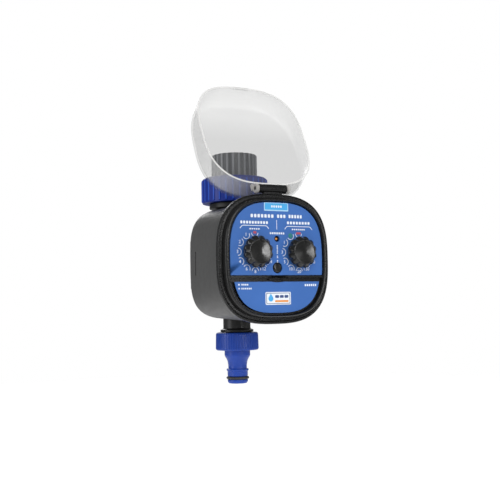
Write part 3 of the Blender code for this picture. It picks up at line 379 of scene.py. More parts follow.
LOOKS = {
    "case_grey": moulded("case_grey", (0.068, 0.068, 0.067), 0.5, grain=0.02, pitch=3000, vary=0.05),
    "bezel_black": moulded("bezel_black", (0.008, 0.008, 0.008), 0.27, 0.0015, 1400, 0.15, 0.02, 0.35),
    "knob_black": turned_gloss("knob_black", (0.009, 0.009, 0.0085), 0.17),
    "label_blue": label_sheet("label_blue", (0.044, 0.140, 0.43)),
    "lid_clear": lid_plastic("lid_clear"),
    "lid_ear": frosted("lid_ear", (0.60, 0.58, 0.55), 0.5),
    # the crest colours of nut_blue and adaptor_grey are painted highlights on the ribs
    "nut_blue": ribbed("nut_blue", (0.003, 0.024, 0.26), (0.02, 0.10, 0.60),
                       NUT_HIGH.x - 0.5, NUT_HIGH.x, 0.38, 0.3),
    "fitting_blue": moulded("fitting_blue", (0.007, 0.044, 0.30), 0.38, grain=0.008, pitch=1500, gloss=0.35),
    "adaptor_grey": ribbed("adaptor_grey", (0.05, 0.056, 0.068), (0.26, 0.27, 0.29), ADAPTOR_HIGH.x - 0.7,
                           ADAPTOR_HIGH.x, 0.3, 0.5),
    "body_black": moulded("body_black", (0.009, 0.009, 0.009), 0.42, grain=0.015, pitch=2200,
                          vary=0.2, gloss=0.4),
    "seal_rubber": rubber("seal_rubber"),
    "white_acetal": moulded("white_acetal", (0.78, 0.78, 0.74), 0.38, grain=0.006, vary=0.03),
    "steel": metal("steel", (0.56, 0.56, 0.57), 0.3, (1, 0.06, 1)),
    "brass": metal("brass", (0.66, 0.47, 0.17), 0.28),
    "board_green": board("board_green"),
    "battery_wrap": battery_wrap("battery_wrap"),
    "led_amber": lamp_epoxy("led_amber"),
    "ink_white": ink("ink_white", (0.83, 0.87, 0.92)),
    "ink_cyan": ink("ink_cyan", (0.05, 0.40, 0.80)),
    "ink_pale": ink("ink_pale", (0.42, 0.68, 0.88)),
    "ink_red": ink("ink_red", (0.50, 0.06, 0.10)),
    "ink_green": ink("ink_green", (0.01, 0.20, 0.20)),
    "ink_orange": ink("ink_orange", (0.80, 0.28, 0.04)),
    "ink_navy": ink("ink_navy", (0.03, 0.07, 0.22)),
}


# ---- shape tools ------------------------------------------------------------

def rounded(profile, radius, steps=3, closed=False):
    """A polyline with its corners rounded. A corner is cut back by radius, or
    by less where its sides are short. Points may have any number of values."""
    points = [Vector(point) for point in profile]
    count = len(points)
    out = [] if closed else [points[0]]
    for i in range(count) if closed else range(1, count - 1):
        before, corner, after = points[i - 1], points[i], points[(i + 1) % count]
        start = corner + (before - corner) * min(0.45, radius / (before - corner).length)
        end = corner + (after - corner) * min(0.45, radius / (after - corner).length)
        for k in range(steps + 1):
            t = k / steps
            out.append(start * (1 - t) ** 2 + corner * 2 * t * (1 - t) + end * t * t)
    return out if closed else out + [points[-1]]


def loft(rows, loop=False):
    """A skin through rows of equal count. A row of one point is a tip."""
    bm = bmesh.new()
    made = [[bm.verts.new(point) for point in row] for row in rows]
    pairs = list(zip(made, made[1:]))
    if loop:
        pairs.append((made[-1], made[0]))
    for one, two in pairs:
        count = max(len(one), len(two))
        for i in range(count):
            j = (i + 1) % count
            if len(one) == 1:
                bm.faces.new((one[0], two[j], two[i]))
            elif len(two) == 1:
                bm.faces.new((one[i], one[j], two[0]))
            else:
                bm.faces.new((one[i], one[j], two[j], two[i]))
    if not loop:
        for end in (made[0], made[-1]):
            if len(end) > 1:
                bm.faces.new(end)
    return bm


def spun(profile, steps=ROUND, closed=False, ribs=None, place=None):
    """A profile turned about local Z. ribs(angle, index) adds to the radius."""
    rows = []
    for index, point in enumerate(profile):
        radius, height = point[0], point[1]
        if radius < 1e-6:
            rows.append([(0, 0, height)])
            continue
        row = []
        for i in range(steps):
            t = 2 * math.pi * i / steps
            reach = radius + (ribs(t, point) if ribs else 0.0)
            row.append((reach * math.cos(t), reach * math.sin(t), height))
        rows.append(row)
    bm = loft(rows, loop=closed)
    if place is not None:
        bm.transform(place)
    return bm


def squircle(half_x, half_z, middle, steps=FINE, power=OUTLINE_POWER):
    """The timer's rounded-square outline, a superellipse, as (x, z) points."""
    points = []
    for i in range(steps):
        t = 2 * math.pi * i / steps
        share = abs(math.cos(t) / half_x) ** power + abs(math.sin(t) / half_z) ** power
        reach = share ** (-1 / power)
        points.append((reach * math.cos(t), middle + reach * math.sin(t)))
    return points


def ring(half_x, half_z, middle, y, power=OUTLINE_POWER):
    return [(x, y, z) for x, z in squircle(half_x, half_z, middle, power=power)]


def prism(outline, near, far, place=None):
    """A flat outline given a thickness from near to far along local Z."""
    bm = bmesh.new()
    one = [bm.verts.new((x, y, near)) for x, y in outline]
    two = [bm.verts.new((x, y, far)) for x, y in outline]
    bm.faces.new(list(reversed(one)))
    bm.faces.new(two)
    for i in range(len(outline)):
        j = (i + 1) % len(outline)
        bm.faces.new((one[i], one[j], two[j], two[i]))
    if place is not None:
        bm.transform(place)
    return bm


def soft_prism(outline, near, far, edge, place=None):
    """A prism whose far edge is rounded over."""
    bm = prism(outline, near, far)
    rim = [e for e in bm.edges if all(abs(v.co.z - far) < 1e-5 for v in e.verts)]
    bmesh.ops.bevel(bm, geom=rim, offset=edge, segments=3, profile=0.5, affect="EDGES")
    if place is not None:
        bm.transform(place)
    return bm


def box(low, high, edge=0.0):
    """A block between two corners, its edges rounded."""
    bm = bmesh.new()
    bmesh.ops.create_cube(bm, size=1.0)
    size = [high[i] - low[i] for i in range(3)]
    bmesh.ops.scale(bm, vec=size, verts=bm.verts)
    bmesh.ops.translate(bm, vec=[(high[i] + low[i]) / 2 for i in range(3)], verts=bm.verts)
    if edge:
        bmesh.ops.bevel(bm, geom=list(bm.edges), offset=edge, segments=3, profile=0.5, affect="EDGES")
    return bm


def rounded_box(half_x, half_z, radius, middle=(0, 0), steps=8):
    points = []
    for quarter, (sx, sz) in enumerate([(1, 1), (-1, 1), (-1, -1), (1, -1)]):
        cx = middle[0] + sx * (half_x - radius)
        cz = middle[1] + sz * (half_z - radius)
        for i in range(steps + 1):
            t = math.pi / 2 * (quarter + i / steps)
            points.append((cx + radius * math.cos(t), cz + radius * math.sin(t)))
    return points


def circle(radius, middle=(0, 0), steps=40):
    turns = [2 * math.pi * i / steps for i in range(steps)]
    return [(middle[0] + radius * math.cos(t), middle[1] + radius * math.sin(t)) for t in turns]


def clipped(half_x, half_z, middle, edge, above):
    """What lies above or below a straight edge of a rounded-square outline."""
    sign = 1 if above else -1
    near = [p for p in squircle(half_x, half_z, middle) if sign * (p[1] - edge) > 0.15]
    near.sort(key=lambda p: -math.atan2(sign * (p[1] - edge), p[0]))
    wide = half_x * (1 - (abs(edge - middle) / half_z) ** OUTLINE_POWER) ** (1 / OUTLINE_POWER)
    return [(-wide, edge)] + near + [(wide, edge)]


def shade(mesh, degrees=32):
    mesh.shade_smooth()
    mesh.set_sharp_from_angle(angle=math.radians(degrees))


def solid(name, bm):
    """An object in metres from a mesh drawn in millimetres."""
    bmesh.ops.recalc_face_normals(bm, faces=bm.faces)
    bmesh.ops.scale(bm, vec=(MM, MM, MM), verts=bm.verts)
    mesh = bpy.data.meshes.new(name)
    bm.to_mesh(mesh)
    bm.free()
    shade(mesh)
    thing = bpy.data.objects.new(name, mesh)
    bpy.context.scene.collection.objects.link(thing)
    return thing


def carve(body, tools, operation="DIFFERENCE"):
    """Joins or cuts a piece with its tools, which are then removed."""
    made = [solid("tool", tool) for tool in tools]
    for tool in made:
        step = body.modifiers.new("carve", "BOOLEAN")
        step.operation = operation
        step.solver = "EXACT"
        step.object = tool
    bpy.context.view_layer.update()
    graph = bpy.context.evaluated_depsgraph_get()
    mesh = bpy.data.meshes.new_from_object(body.evaluated_get(graph))
    body.modifiers.clear()
    body.data = mesh
    for tool in made:
        bpy.data.objects.remove(tool, do_unlink=True)
    shade(mesh)


def dress(thing, look, body, slot, *nodes):
    """Gives a piece its material and its body, and hides its CAD nodes. slot is not used."""
    thing.data.materials.clear()
    thing.data.materials.append(LOOKS[look])
    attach(thing, body)
    if nodes:
        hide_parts(*nodes)
    return thing


# ---- case -------------------------------------------------------------------

def housing_rows(inset, back):
    """Rings of the tub from its front edge over its rounded shoulder. Its
    outline grows squarer towards the back."""
    front, shoulder, draw, turns = -53.4, -6.8, 16.0, 14
    rows = []
    for k in range(9):
        share = k / 8
        rows.append(ring(37.5 - 0.7 * share - inset, 41.0 - 1.5 * share - inset, HOUSE_Z + 0.5 * share,
                         front + (shoulder - front) * share, OUTLINE_POWER + share))
    for i in range(1, turns + 1):
        t = math.pi / 2 * i / turns * 0.94
        fall = inset + draw * (1 - math.cos(t))
        rows.append(ring(36.8 - fall, 39.5 - fall, HOUSE_Z + 0.5, shoulder + (back - shoulder) * math.sin(t),
                         OUTLINE_POWER + 1))
    return rows


def rear_housing():
    outer = housing_rows(0.0, 15.1)
    inner = housing_rows(2.0, 13.1)
    tub = solid("housing_shell", loft(list(reversed(outer)) + inner))
    pad_outline = rounded_box(PLATE_HIGH.x - 0.5, 20.1, 3.2)
    pad_place = Matrix.Translation((0, 0, centre("back_plate").z)) @ Matrix.Rotation(-math.pi / 2, 4, "X")
    carve(tub, [prism(pad_outline, 8.0, 15.5, pad_place)], "UNION")
    neck = [(14.6, -36.0), (14.6, -99.8), (10.2, -99.8), (10.2, -130.0), (0, -130.0)]
    tools = [spun([(0, -36.0)] + neck)]
    for side in (-1, 1):
        low, high = sorted((side * 35.6, side * 40.0))
        tools.append(box((low, -10.2, -89.0), (high, -8.8, -72.0), 0.3))
    carve(tub, tools)
    dress(tub, "case_grey", "case", "case_grey", "rear_housing")


def back_plate():
    outline = rounded_box(PLATE_HIGH.x, (PLATE_HIGH.z - PLATE_LOW.z) / 2, 3.5)
    place = Matrix.Translation((0, 0, centre("back_plate").z)) @ Matrix.Rotation(-math.pi / 2, 4, "X")
    plate = solid("mounting_plate", soft_prism(outline, PLATE_LOW.y, PLATE_HIGH.y, 0.6, place))
    tools = []
    for x in (-SCREW_X, SCREW_X):
        for z in SCREW_Z:
            well = [(0, 24.0), (3.3, 24.0), (3.3, 16.3), (1.7, 16.3), (1.7, 14.0), (0, 14.0)]
            spot = Matrix.Translation((x, 0, z)) @ Matrix.Rotation(-math.pi / 2, 4, "X")
            tools.append(spun(well, 48, place=spot))
    carve(plate, tools)
    dress(plate, "case_grey", "case", "case_grey", "back_plate")


def bezel_profile():
    """Half width, half height, middle and y of each ring, from the floor of the
    recess over the raised rim, down the lid's groove and round the flange."""
    half_x, half_z, middle = RECESS
    front = [(half_x, half_z, middle, FLOOR_FRONT), (half_x + 0.2, half_z + 0.2, middle, -61.2),
             (36.9, 38.7, middle, -62.25), (38.3, 39.1, -78.5, -62.5), (39.3, 39.85, -78.4, -61.7),
             (39.75, 40.25, GROOVE_Z, -59.5), (39.8, 40.5, GROOVE_Z, -56.7), (42.0, 42.7, GROOVE_Z, -56.7),
             (42.1, 42.8, GROOVE_Z, -57.5), (42.6, 43.6, BEZEL_Z, -57.45), (42.9, 44.0, BEZEL_Z, -56.8),
             (42.9, 44.0, BEZEL_Z, -54.4), (42.4, 43.5, BEZEL_Z, FLANGE_BACK)]
    skirt = [(35.1, 38.6, HOUSE_Z, FLANGE_BACK), (35.1, 38.6, HOUSE_Z, -48.0), (33.5, 37.0, HOUSE_Z, -48.0),
             (33.5, 37.0, HOUSE_Z, FLOOR_BACK)]
    return front + skirt


def scoop():
    """The finger scoop astride the divider: a shallow oval bowl."""
    bm = bmesh.new()
    bmesh.ops.create_uvsphere(bm, u_segments=48, v_segments=24, radius=1.0)
    bmesh.ops.scale(bm, vec=(8.6, 2.3, 2.4), verts=bm.verts)
    bmesh.ops.translate(bm, vec=(0, FACE_Y - 0.3, -92.65), verts=bm.verts)
    return bm


def control_wells(near=-50.0, far=-70.0):
    """Cutters for the two dial shafts, the button and the lamp."""
    spots = [(KNOBS["frequency"], 4.0), (KNOBS["duration"], 4.0), (BUTTON, 3.75), (LAMP, 2.1)]
    cutters = []
    for at, r in spots:
        drill = [(0, -far), (r, -far), (r, -near), (0, -near)]
        cutters.append(spun(drill, 56, place=facing(at.x, at.z)))
    return cutters


def front_bezel():
    rows = [ring(*point) for point in rounded(bezel_profile(), 0.7, 4)]
    bezel = solid("bezel_frame", loft(rows))
    divider = box((-35.95, FACE_Y - 0.25, -91.9), (35.95, -57.5, -90.5))
    barrel = [(0, -10.5), (2.85, -10.5), (3.15, -10.2), (3.15, 10.2), (2.85, 10.5), (0, 10.5)]
    knuckle = spun(list(reversed(barrel)), 64, place=Matrix.Translation(HINGE) @ TO_RIGHT)
    web_side = [(-56.95, HINGE.z), (-54.0, HINGE.z), (-53.9, -36.4), (-56.8, -36.4)]
    sideways = Matrix(((0, 0, 1, 0), (1, 0, 0, 0), (0, 1, 0, 0), (0, 0, 0, 1)))
    web = prism(web_side, -7.0, 7.0, sideways)
    carve(bezel, [divider, knuckle, web], "UNION")
    drill = [(0, 20.0), (1.5, 20.0), (1.5, -20.0), (0, -20.0)]
    bore = spun(drill, 32, place=Matrix.Translation(HINGE) @ TO_RIGHT)
    bay = box((-25.6, -62.0, -109.4), (25.6, -50.0, -97.9))
    carve(bezel, control_wells() + [bore, bay, scoop()])
    dress(bezel, "bezel_black", "case", "bezel_black", "front_bezel")


def screw_posts():
    """The posts behind the bezel that take the long case screws."""
    for x in (-SCREW_X, SCREW_X):
        for z in SCREW_Z:
            shape = [(1.5, 49.4), (3.0, 49.4), (3.3, 49.7), (3.3, 56.3), (1.5, 56.3)]
            name = "screw_post_%s%s" % ("left" if x < 0 else "right", "_top" if z > -80 else "_low")
            post = solid(name, spun(shape, 40, closed=True, place=facing(x, z)))
            dress(post, "bezel_black", "case", "bezel_black")


def face_panel():
    half_x, half_z, middle = RECESS
    outline = clipped(half_x - 0.35, half_z - 0.35, middle, PANEL_LOW.z, above=True)
    panel = solid("control_label", soft_prism(outline, -PANEL_HIGH.y, -PANEL_LOW.y, 0.15, TO_FRONT))
    carve(panel, control_wells() + [scoop()])
    dress(panel, "label_blue", "case", "label_blue", "face_panel")


def battery_door():
    half_x, half_z, middle = RECESS
    top = DOOR_HIGH.z
    outline = clipped(half_x - 0.35, half_z - 0.35, middle, -92.2, above=False)
    door = solid("battery_cover", soft_prism(outline, -FLOOR_FRONT + 0.3, -FACE_Y, 0.25, TO_FRONT))
    pocket = clipped(half_x - 1.9, half_z - 1.2, middle, -94.3, above=False)
    carve(door, [scoop(), prism(pocket, -FACE_Y - 0.6, 70.0, TO_FRONT)])
    near, far = FLOOR_FRONT - 1.0, FLOOR_BACK + 0.2
    catches = [box((x - 2.5, near, -98.9), (x + 2.5, far, -98.2), 0.15) for x in (-12.0, 12.0)]
    carve(door, catches, "UNION")
    carve(door, [box((-6.8, FACE_Y + 0.1, -93.1), (6.8, -58.8, -92.4), 0.3)], "UNION")
    dress(door, "bezel_black", "door", "bezel_black", "battery_door")
    sheet = clipped(half_x - 2.1, half_z - 1.4, middle, -94.55, above=False)
    label = solid("door_label_sheet", soft_prism(sheet, -FACE_Y - 0.4, -FACE_Y + 0.05, 0.1, TO_FRONT))
    carve(label, [scoop()])
    dress(label, "label_blue", "door", "label_blue", "door_label")


# ---- lid --------------------------------------------------------------------

def lid_ring(level, inset, lift):
    """A ring of the closed lid, measured from the hinge axis. level runs from
    the rim, 0, to the crown, 1, which leans a little towards the hinge."""
    bow = level ** 2
    half_x = 41.6 + 1.5 * bow - inset
    half_z = 42.2 - 2.1 * bow - inset
    middle = -(47.2 - 5.3 * bow)
    depth = 2.2 + 16.0 * level - lift
    lean = -0.04 * level
    return [(x, -depth + lean * (z - middle), z) for x, z in squircle(half_x, half_z, middle)]


def lid_rows(wall, fillet):
    """Rings of one face of the lid, from its rim to its crown."""
    rows = [lid_ring(level / 10, wall, wall * level / 10) for level in range(8)]
    turns = 14
    for i in range(1, turns + 1):
        t = math.pi / 2 * i / turns
        level = 0.7 + 0.3 * math.sin(t)
        rows.append(lid_ring(level, wall + fillet * (1 - math.cos(t)), wall * level))
    return rows


def lid():
    wall = 1.2
    outer = lid_rows(0.0, 2.6)
    inner = lid_rows(wall, 1.8)
    edge = [lid_ring(-0.008, wall * share, 0.0) for share in (0.3, 0.7)]
    rows = list(reversed(outer)) + edge + inner
    open_place = Matrix.Translation((0, HINGE.y, HINGE.z)) @ Matrix.Rotation(-LID_OPEN, 4, "X")
    shell = loft(rows)
    shell.transform(open_place)
    cover = solid("clear_lid", shell)
    dress(cover, "lid_clear", "lid", "lid_clear", "lid")
    for side in (-1, 1):
        low, high = sorted((side * 10.9, side * 13.1))
        disc = [(1.5, high), (2.9, high), (3.3, high - 0.4), (3.3, low + 0.4), (2.9, low), (1.5, low)]
        ear = spun(disc, 48, closed=True, place=TO_RIGHT)
        name = "left" if side < 0 else "right"
        ear.transform(open_place)
        piece = solid("lid_ear_" + name, ear)
        dress(piece, "lid_ear", "lid", "lid_clear")
        arm = box((low + 0.1, -5.6, -5.6), (high - 0.1, -2.85, -1.0), 0.4)
        arm.transform(open_place)
        dress(solid("lid_arm_" + name, arm), "lid_ear", "lid", "lid_clear")
    lip = box((-6.0, -4.2, -90.4), (6.0, -2.9, -88.4), 0.3)
    lip.transform(open_place)
    dress(solid("lid_lip", lip), "lid_clear", "lid", "lid_clear")


# ---- dials, button and lamp -------------------------------------------------

def fluted(t, point):
    """Twelve shallow scallops round a grip, as deep as the point says."""
    return -point[2] * (0.5 + 0.5 * math.cos(12 * t)) ** 2


def dial(name):
    low, high = extent(name + "_knob")
    at = KNOBS[name]
    base, front = -high.y, -low.y
    skin = [(0, base, 0), (9.2, base, 0), (9.4, base + 0.8, 0.1), (10.5, base + 2.4, 0.7),
            (10.9, base + 3.4, 1.0), (10.9, front - 3.4, 1.0), (10.5, front - 2.3, 1.0),
            (9.2, front - 0.9, 0.6), (8.5, front - 0.2, 0.1), (8.2, front, 0), (7.9, front, 0),
            (7.5, front - 0.3, 0), (1.5, front - 0.95, 0), (0, front - 1.0, 0)]
    knob = solid(name + "_dial", spun(rounded(skin, 0.35, 3), 288, ribs=fluted, place=facing(at.x, at.z)))
    slot = box((-0.5, 5.6, front - 1.6), (0.5, 9.4, front + 2.0), 0.2)
    slot.transform(facing(at.x, at.z))
    carve(knob, [slot])
    dress(knob, "knob_black", name + "_dial", "knob_black", name + "_knob")


def button():
    front = -extent("manual_button")[0].y
    shape = [(0, front - 0.1), (1.8, front - 0.02), (2.9, front - 0.25), (3.35, front - 0.8), (3.4, 56.0),
             (4.8, 56.0), (4.8, 54.8), (1.6, 54.8), (1.6, 52.6), (0, 52.6)]
    cap = solid("push_button", spun(rounded(shape, 0.3), 64, place=facing(BUTTON.x, BUTTON.z)))
    dress(cap, "knob_black", "button", "knob_black", "manual_button")
    dome = [(1.5 * math.sin(t), 58.4 + 1.5 * math.cos(t)) for t in [math.pi / 2 * i / 12 for i in range(13)]]
    shape = dome + [(1.5, 55.6), (1.9, 55.6), (1.9, 54.6), (0, 54.6)]
    lamp = solid("lamp_lens", spun(shape, 40, place=facing(LAMP.x, LAMP.z)))
    dress(lamp, "led_amber", "case", "led_amber", "status_led")


# ---- printed marks ----------------------------------------------------------

PRINT_BACK = -FACE_Y - 0.04
PRINT_FRONT = -FACE_Y + 0.06


def stroke(points, width):
    """The outline of a line of even width through the points."""
    points = [Vector(point) for point in points]
    left, right = [], []
    for i, point in enumerate(points):
        along = (points[min(i + 1, len(points) - 1)] - points[max(i - 1, 0)]).normalized()
        side = Vector((-along.y, along.x)) * width / 2
        left.append(tuple(point + side))
        right.append(tuple(point - side))
    return left + list(reversed(right))


def arc(middle, radius, start, end, steps=14):
    turns = [math.radians(start + (end - start) * i / steps) for i in range(steps + 1)]
    return [(middle[0] + radius * math.cos(t), middle[1] + radius * math.sin(t)) for t in turns]


def pill(x, z, width, height):
    """A small bar with round ends, its middle at x and z."""
    return rounded_box(width / 2, height / 2, min(width, height) * 0.3, (x, z), 3)


def row_of_pills(left, right, z, height, count, gap=0.32):
    """Bars in a row, which stand where a word was."""
    pitch = (right - left) / count
    return [pill(left + pitch * (i + 0.5), z, pitch * (1 - gap), height) for i in range(count)]


def printed(name, outlines, look, body="case", lift=0.0):
    """A set of flat printed shapes as one piece."""
    bm = bmesh.new()
    for outline in outlines:
        part = prism(outline, PRINT_BACK, PRINT_FRONT + lift, TO_FRONT)
        mesh = bpy.data.meshes.new("part")
        part.to_mesh(mesh)
        part.free()
        bm.from_mesh(mesh)
        bpy.data.meshes.remove(mesh)
    piece = solid(name, bm)
    return dress(piece, look, body, "label_blue")


def numeral(text, x, z, size, name):
    """A dial number as a flat raised mesh."""
    curve = bpy.data.curves.new(name, "FONT")
    curve.body = text
    curve.size = size * MM
    curve.align_x = "CENTER"
    curve.align_y = "CENTER"
    curve.extrude = 0.05 * MM
    curve.resolution_u = 3
    blank = bpy.data.objects.new(name, curve)
    bpy.context.scene.collection.objects.link(blank)
    bpy.context.view_layer.update()
    graph = bpy.context.evaluated_depsgraph_get()
    mesh = bpy.data.meshes.new_from_object(blank.evaluated_get(graph))
    bpy.data.objects.remove(blank, do_unlink=True)
    mesh.transform(Matrix.Translation((x * MM, (FACE_Y - 0.01) * MM, z * MM)) @ TO_FRONT)
    digit = bpy.data.objects.new(name, mesh)
    bpy.context.scene.collection.objects.link(digit)
    return dress(digit, "ink_white", "case", "label_blue")


NUMBER_RING = 12.8        # radius of the numbers round each dial
NUMBER_STEP = 30          # degrees from one to the next
SCALES = {"frequency": ["", "1", "2", "3", "4", "6", "8", "12", "24"],
          "duration": ["", "", "1", "3", "5", "10", "20", "30", "60"]}


def dial_scale(name):
    at = KNOBS[name]
    cups = []
    for i, text in enumerate(SCALES[name]):
        turn = 90 + NUMBER_STEP * i
        t = math.radians(turn)
        x = at.x + NUMBER_RING * math.cos(t)
        z = at.z + NUMBER_RING * math.sin(t)
        cups.append(stroke(arc((x, z), 2.45, turn + 92, turn + 268), 0.38))
        if text:
            numeral(text, x + 0.35 * math.cos(t), z + 0.35 * math.sin(t), 3.1, "%s_number_%d" % (name, i))
    printed(name + "_scale", cups, "ink_white")
    dot = pill(at.x + 0.1, at.z + NUMBER_RING + 0.2, 2.4, 1.6) if name == "frequency" else \
        pill(at.x, at.z + NUMBER_RING + 0.2, 3.8, 1.5)
    printed(name + "_stop_mark", [dot], "ink_red")
    if name == "duration":
        t = math.radians(90 + NUMBER_STEP)
        patch = circle(1.7, (at.x + NUMBER_RING * math.cos(t), at.z + NUMBER_RING * math.sin(t) + 0.2), 24)
        printed("duration_ready_mark", [patch], "ink_green")


def bracket(side):
    """A flat bracket with drooping ends over a dial."""
    inner, outer, top, drop = 6.2, 28.0, -57.1, 2.0
    line = [(inner, top - drop), (inner + 1.7, top), (outer - 1.7, top), (outer, top - drop)]
    return stroke([(side * x, z) for x, z in rounded(line, 0.8, 3)], 0.42)


def face_graphics():
    for name in KNOBS:
        dial_scale(name)
    tab = rounded_box(9.4, 2.75, 0.5, (-0.15, -44.2), 4)
    printed("tab_border", [tab], "ink_pale")
    printed("tab", [rounded_box(8.75, 2.2, 0.3, (-0.15, -43.95), 4)], "ink_cyan", lift=0.02)
    printed("tab_bars", row_of_pills(-4.4, 4.4, -43.9, 1.5, 5), "ink_white", lift=0.04)
    title = row_of_pills(-20.3, -2.0, -50.5, 2.3, 7) + row_of_pills(0.0, 7.3, -50.4, 2.3, 3)
    title += row_of_pills(9.1, 20.2, -50.3, 2.3, 5)
    heads = row_of_pills(-28.0, -6.5, -55.0, 1.9, 10) + row_of_pills(7.7, 26.4, -54.7, 1.9, 8)
    small = row_of_pills(-21.2, -13.0, -59.3, 1.0, 5) + row_of_pills(11.6, 22.3, -59.1, 1.0, 7)
    small += row_of_pills(-5.7, 6.0, -62.0, 1.35, 7)
    lines = [stroke([(0.0, -53.0), (0.0, -59.4)], 0.36)]
    lines += [pill(0.1, -70.4 - 1.0 * i, 0.85, 0.62) for i in range(12) if i not in (6, 9)]
    printed("title_bars", title, "ink_white")
    printed("heading_bars", heads, "ink_white")
    printed("caption_bars", small, "ink_white")
    printed("guide_lines", lines + [bracket(-1), bracket(1)], "ink_white")


def drop(x, z, size):
    """A water drop standing on its round end."""
    points = []
    for i in range(29):
        t = 2 * math.pi * i / 28
        pull = max(0.0, math.cos(t)) ** 4
        points.append((x + size * math.sin(t) * (1 - 0.55 * pull), z + size * (math.cos(t) + 0.75 * pull)))
    return points[:-1]


def door_graphics():
    left = row_of_pills(-30.2, -28.8, -96.4, 1.0, 1, 0.1) + row_of_pills(-27.9, -22.4, -96.4, 1.1, 4)
    left += row_of_pills(-30.0, -28.9, -99.0, 1.0, 1, 0.1) + row_of_pills(-28.0, -19.9, -99.0, 1.1, 6)
    right = row_of_pills(20.9, 30.6, -97.0, 1.5, 6)
    printed("door_bars", left + right, "ink_white", "door")
    printed("door_plate", [rounded_box(9.8, 4.25, 0.8, (0.1, -105.7), 4)], "ink_white", "door")
    line = rounded_box(9.2, 3.65, 0.5, (0.1, -105.7), 4)
    field = rounded_box(8.8, 3.25, 0.4, (0.1, -105.7), 4)
    printed("door_plate_line", [line], "ink_navy", "door", lift=0.01)
    printed("door_plate_field", [field], "ink_white", "door", lift=0.02)
    printed("door_drop", [drop(-5.6, -105.9, 1.9)], "ink_cyan", "door", lift=0.03)
    printed("door_plate_bars", row_of_pills(-2.6, 8.2, -104.5, 1.9, 3, 0.16), "ink_navy", "door", lift=0.03)
    printed("door_plate_strip", [pill(2.8, -107.6, 10.4, 1.3)], "ink_orange", "door", lift=0.03)


# ---- water path -------------------------------------------------------------

def ridge(count, height, share, sharp=6.0):
    """Ribs that stand proud of a turned surface, count round, share wide."""
    def add(t, point):
        wave = math.cos(count * t)
        edge = math.cos(math.pi * share)
        lift = 1 / (1 + math.exp(-sharp * (wave - edge) * 2))
        return point[2] * height * lift
    return add


def inlet_nut():
    top, low = NUT_HIGH.z, NUT_LOW.z
    wide = NUT_HIGH.x - 0.7
    shape = [(16.0, top, 0), (21.6, top, 0), (22.6, top - 0.3, 0.2), (wide - 0.1, top - 2.0, 1),
             (wide, top - 3.0, 1), (wide, low + 1.2, 1), (wide - 0.1, low + 0.9, 0), (wide - 0.1, low, 0),
             (14.1, low, 0), (14.1, -33.3, 0), (16.0, -33.3, 0)]
    nut = spun(rounded(shape, 0.5, 3, closed=True), 720, closed=True, ribs=ridge(30, 0.7, 0.26))
    dress(solid("swivel_nut", nut), "nut_blue", "swivel", "fitting_blue", "inlet_nut")


def inlet_adaptor():
    wide = ADAPTOR_HIGH.x - 0.9
    shape = [(13.2, 0, 0), (wide - 0.3, 0, 0), (wide, -0.5, 0.7), (wide, -1.2, 1), (wide, -16.8, 1),
             (15.5, -16.8, 0), (15.5, -27.2, 0), (9.5, -27.2, 0), (9.5, -15.0, 0), (13.2, -13.5, 0)]
    body = spun(rounded(shape, 0.3, 3, closed=True), 576, closed=True, ribs=ridge(24, 0.9, 0.40, 5.0))
    piece = solid("thread_adaptor", body)
    dress(piece, "adaptor_grey", "swivel", "adaptor_grey", "inlet_adaptor")
    thread = []
    for k in range(6):
        z = -2.2 - 1.8 * k
        crest = [(13.3, z + 0.75, 0), (12.5, z + 0.12, 0), (12.5, z - 0.12, 0), (13.3, z - 0.75, 0)]
        thread.append(spun(crest, ROUND, True))
    for k, bm in enumerate(thread):
        dress(solid("tap_thread_%d" % (k + 1), bm), "adaptor_grey", "swivel", "adaptor_grey")


def valve_body():
    shape = [(7.4, -30.5), (15.4, -30.5), (15.4, -33.0), (13.7, -33.0), (13.7, -36.0), (18.6, -36.0),
             (18.6, -39.6), (14.6, -40.4), (14.3, -41.5), (14.3, -95.0), (10.4, -95.0), (10.4, -69.5),
             (6.6, -69.5), (6.6, -32.0)]
    pipe = solid("inlet_pipe", spun(rounded(shape, 0.5, 3, closed=True), 128, closed=True))
    place = facing(0, centre("valve_ball").z)
    carve(pipe, [spun([(0, 20.4), (6.0, 20.4), (6.0, 9.0), (0, 9.0)], 64, place=place)], "UNION")
    chamber = [(0, 10.2), (9.9, 10.2), (9.9, -12.0), (0, -12.0)]
    bore = [(0, 30.0), (4.4, 30.0), (4.4, 17.2), (2.7, 17.2), (2.7, 0), (0, 0)]
    carve(pipe, [spun(chamber, 64, place=place), spun(bore, 48, place=place)])
    dress(pipe, "body_black", "case", "body_black", "valve_body")


def outlet_tailpiece():
    shape = [(5.4, -91.0), (9.9, -91.0), (9.9, -95.3), (14.3, -95.3), (14.3, -98.5), (9.9, -99.5),
             (9.9, -126.6), (10.4, -127.2), (12.0, -127.7), (12.0, -129.2), (11.2, -129.3),
             (11.2, -130.4), (13.1, -131.0), (13.1, -138.2), (5.4, -138.2)]
    neck = solid("outlet_pipe", spun(rounded(shape, 0.4, 3, closed=True), 128, closed=True))
    dress(neck, "body_black", "case", "body_black", "outlet_tailpiece")


